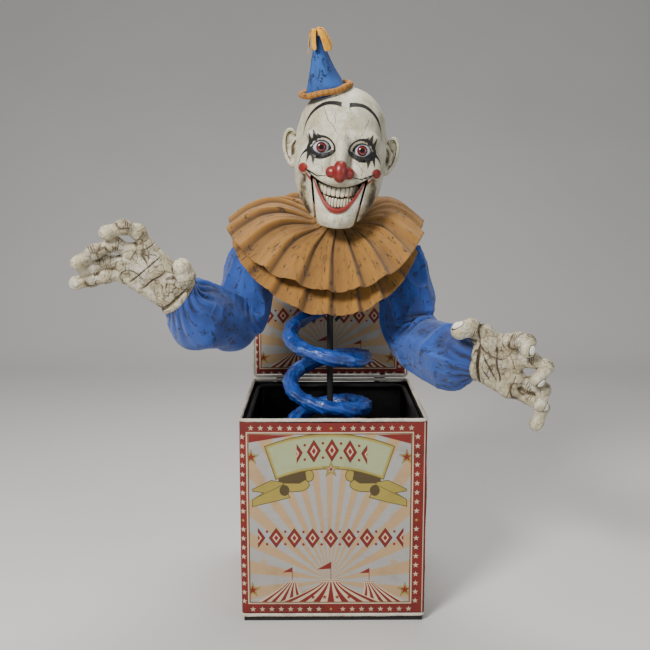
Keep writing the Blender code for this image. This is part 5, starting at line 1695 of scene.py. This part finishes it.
def dress_frame():
    """Worn finishes for the CAD nodes that stay as they are."""
    looks = ((STEEL_NODES, metal_look("worn_black_steel", rgb(30, 29, 30), rgb(96, 88, 80), 0.5, 0.35)),
             (PLASTIC_NODES, moulded_look("grained_black_plastic", rgb(26, 26, 27), rgb(70, 66, 60), 0.52)),
             (BRIGHT_NODES, metal_look("dulled_bright_steel", rgb(168, 166, 160), rgb(104, 78, 56), 0.34, 1.0)),
             (NYLON_NODES, moulded_look("used_white_nylon", rgb(214, 210, 196), rgb(140, 126, 98), 0.45,
                                        0.0020)))
    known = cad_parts
    dressed = set()
    for names, look in looks:
        for name in names:
            node = known[name]
            dressed.add(name)
            for k in range(len(node.material_slots)):
                node.material_slots[k].material = look.material
    return dressed


# ---- Studio ----
def make_floor():
    """A plain pale sweep that rises far behind the object."""
    count = 64
    depth = np.linspace(-6.0, 6.0, count)
    rise = np.where(depth > 2.6, (depth - 2.6) ** 2 * 0.5, 0.0)
    wide = np.linspace(-7, 7, 9)
    points = np.stack([np.broadcast_to(wide[None], (count, 9)), np.broadcast_to(depth[:, None], (count, 9)),
                       np.broadcast_to(rise[:, None] - 0.0005, (count, 9))], -1)
    look = Look("studio_sweep", rgb(206, 205, 202), 0.75)
    look.layer(rgb(198, 197, 194), look.noise(0.8, 2))
    look.rough(look.noise(0.3) * 0.1 + 0.68)
    look.bump(look.noise(0.02), 0.0002, 0.2)
    floor = piece("floor", points, grid_faces(count, 9)[:, ::-1], look)


def add_light(name, place, target, size, power, colour=(1.0, 0.97, 0.93)):
    data = bpy.data.lights.new(name, "AREA")
    data.shape = "DISK"
    data.size, data.energy, data.color = size, power, colour
    light = bpy.data.objects.new(name, data)
    light.location = place
    light.rotation_euler = (Vector(target) - Vector(place)).to_track_quat("-Z", "Y").to_euler()
    bpy.context.scene.collection.objects.link(light)


def make_studio():
    make_floor()
    add_light("key", (-1.5, -2.3, 2.5), (0, 0, 0.75), 0.9, 150)
    add_light("fill", (2.4, -2.0, 1.3), (0, 0, 0.6), 1.8, 20, (0.92, 0.96, 1.0))
    add_light("top", (0.2, 0.6, 2.9), (0, 0, 0.8), 1.2, 50)
    world = bpy.data.worlds.new("studio")
    world.use_nodes = True
    back = world.node_tree.nodes["Background"]
    back.inputs["Color"].default_value = (0.86, 0.88, 0.92, 1.0)
    back.inputs["Strength"].default_value = 0.32
    bpy.context.scene.world = world


def make_camera():
    """The photograph's angle: a little above the hands, looking slightly down."""
    data = bpy.data.cameras.new("camera")
    data.lens, data.sensor_width = 45.57, 36.0
    camera = bpy.data.objects.new("camera", data)
    camera.location = (-0.0316, -1.9357, 0.9383)
    camera.rotation_euler = (math.radians(90 - 8.663), 0.0, -0.0076)
    bpy.context.scene.collection.objects.link(camera)
    bpy.context.scene.camera = camera


# ---- The whole object ----
def main():
    make_camera()
    make_studio()
    dress_frame()
    lining, prints, cord = lining_look(), print_look(), cord_look()
    make_cover(prints, lining)
    make_lid(prints, lining)
    make_piping(cord)
    make_coil(satin_look())
    # Each cloth gets patches of painted shade and painted light, and shaded_by paints shade into its folds.
    blue = cloth_look("blue_sleeve_cloth", rgb(34, 76, 158), rgb(22, 36, 88), rgb(58, 102, 186),
                      rgb(15, 22, 42), stains=0.570, sheen_weight=0.2)
    shaded_by(blue, "fold", rgb(17, 22, 52), 0.9)
    ochre = cloth_look("ochre_ruff_cloth", rgb(150, 104, 34), rgb(110, 72, 22), rgb(176, 130, 52),
                       rgb(30, 22, 14), stains=0.590, roughness=0.72, sheen_weight=0.15)
    shaded_by(ochre, "fold", rgb(52, 32, 12), 0.92)
    hat_cloth = cloth_look("hat_felt", rgb(44, 92, 166), rgb(28, 50, 108), rgb(70, 120, 190),
                           rgb(20, 24, 44), stains=0.56)
    brim = cloth_look("hat_roll_cloth", rgb(166, 112, 44), rgb(124, 80, 32), rgb(188, 138, 66),
                      rgb(26, 20, 14), stains=0.66)
    shaded_by(brim, "fold", rgb(52, 38, 18), 0.8)
    shaded_by(hat_cloth, "fold", rgb(26, 36, 70), 0.7)
    upper = make_ruff("upper_ruff", UPPER_RUFF, "collar_upper", ochre, 0.0125, 3)
    lower = make_ruff("lower_ruff", LOWER_RUFF, "collar_lower", ochre, 0.0120, 6)
    make_shirt(blue)
    make_sleeve("right_sleeve", RIGHT_ARM, "right", blue, 2)
    make_sleeve("left_sleeve", LEFT_ARM, "left", blue, 5)
    skin = face_look()
    make_head(skin)
    make_jaw(skin)
    teeth = teeth_look()
    make_teeth("upper_dentures", "upper_teeth", "head", teeth, -0.054, 0.051, -0.1010, -0.0800, 11,
               math.radians(64), 5.0)
    make_teeth("lower_dentures", "lower_teeth", "jaw", teeth, -0.052, 0.048, -0.1240, -0.1040, 14,
               math.radians(58), 7.0)
    for name in EYES:
        make_eye(name, eye_look(name + "_glass"))
    make_nose(nose_look())
    make_hat(hat_cloth, brim, tassel_look())
    hands = hand_look()
    make_hand("right_glove", "right_hand", RIGHT_ARM, RIGHT_FINGERS, "right_hand", hands, turned=0.92)
    make_hand("left_glove", "left_hand", LEFT_ARM, LEFT_FINGERS, "left_hand", hands)


def tassel_look():
    look = Look("yellow_felt", rgb(206, 146, 30), 0.9, sheen_weight=0.1)
    look.layer(rgb(160, 98, 18), look.noise(0.010, 5, 0.7).between(0.45, 0.70) * 0.7)
    look.layer(rgb(222, 176, 66), look.noise(0.004, 5, 0.8).between(0.55, 0.75) * 0.6)
    look.rough(look.noise(0.01) * 0.15 + 0.78)
    look.bump(look.noise(0.0009, 4, 0.8), 0.0004, 0.8)
    return look


main()
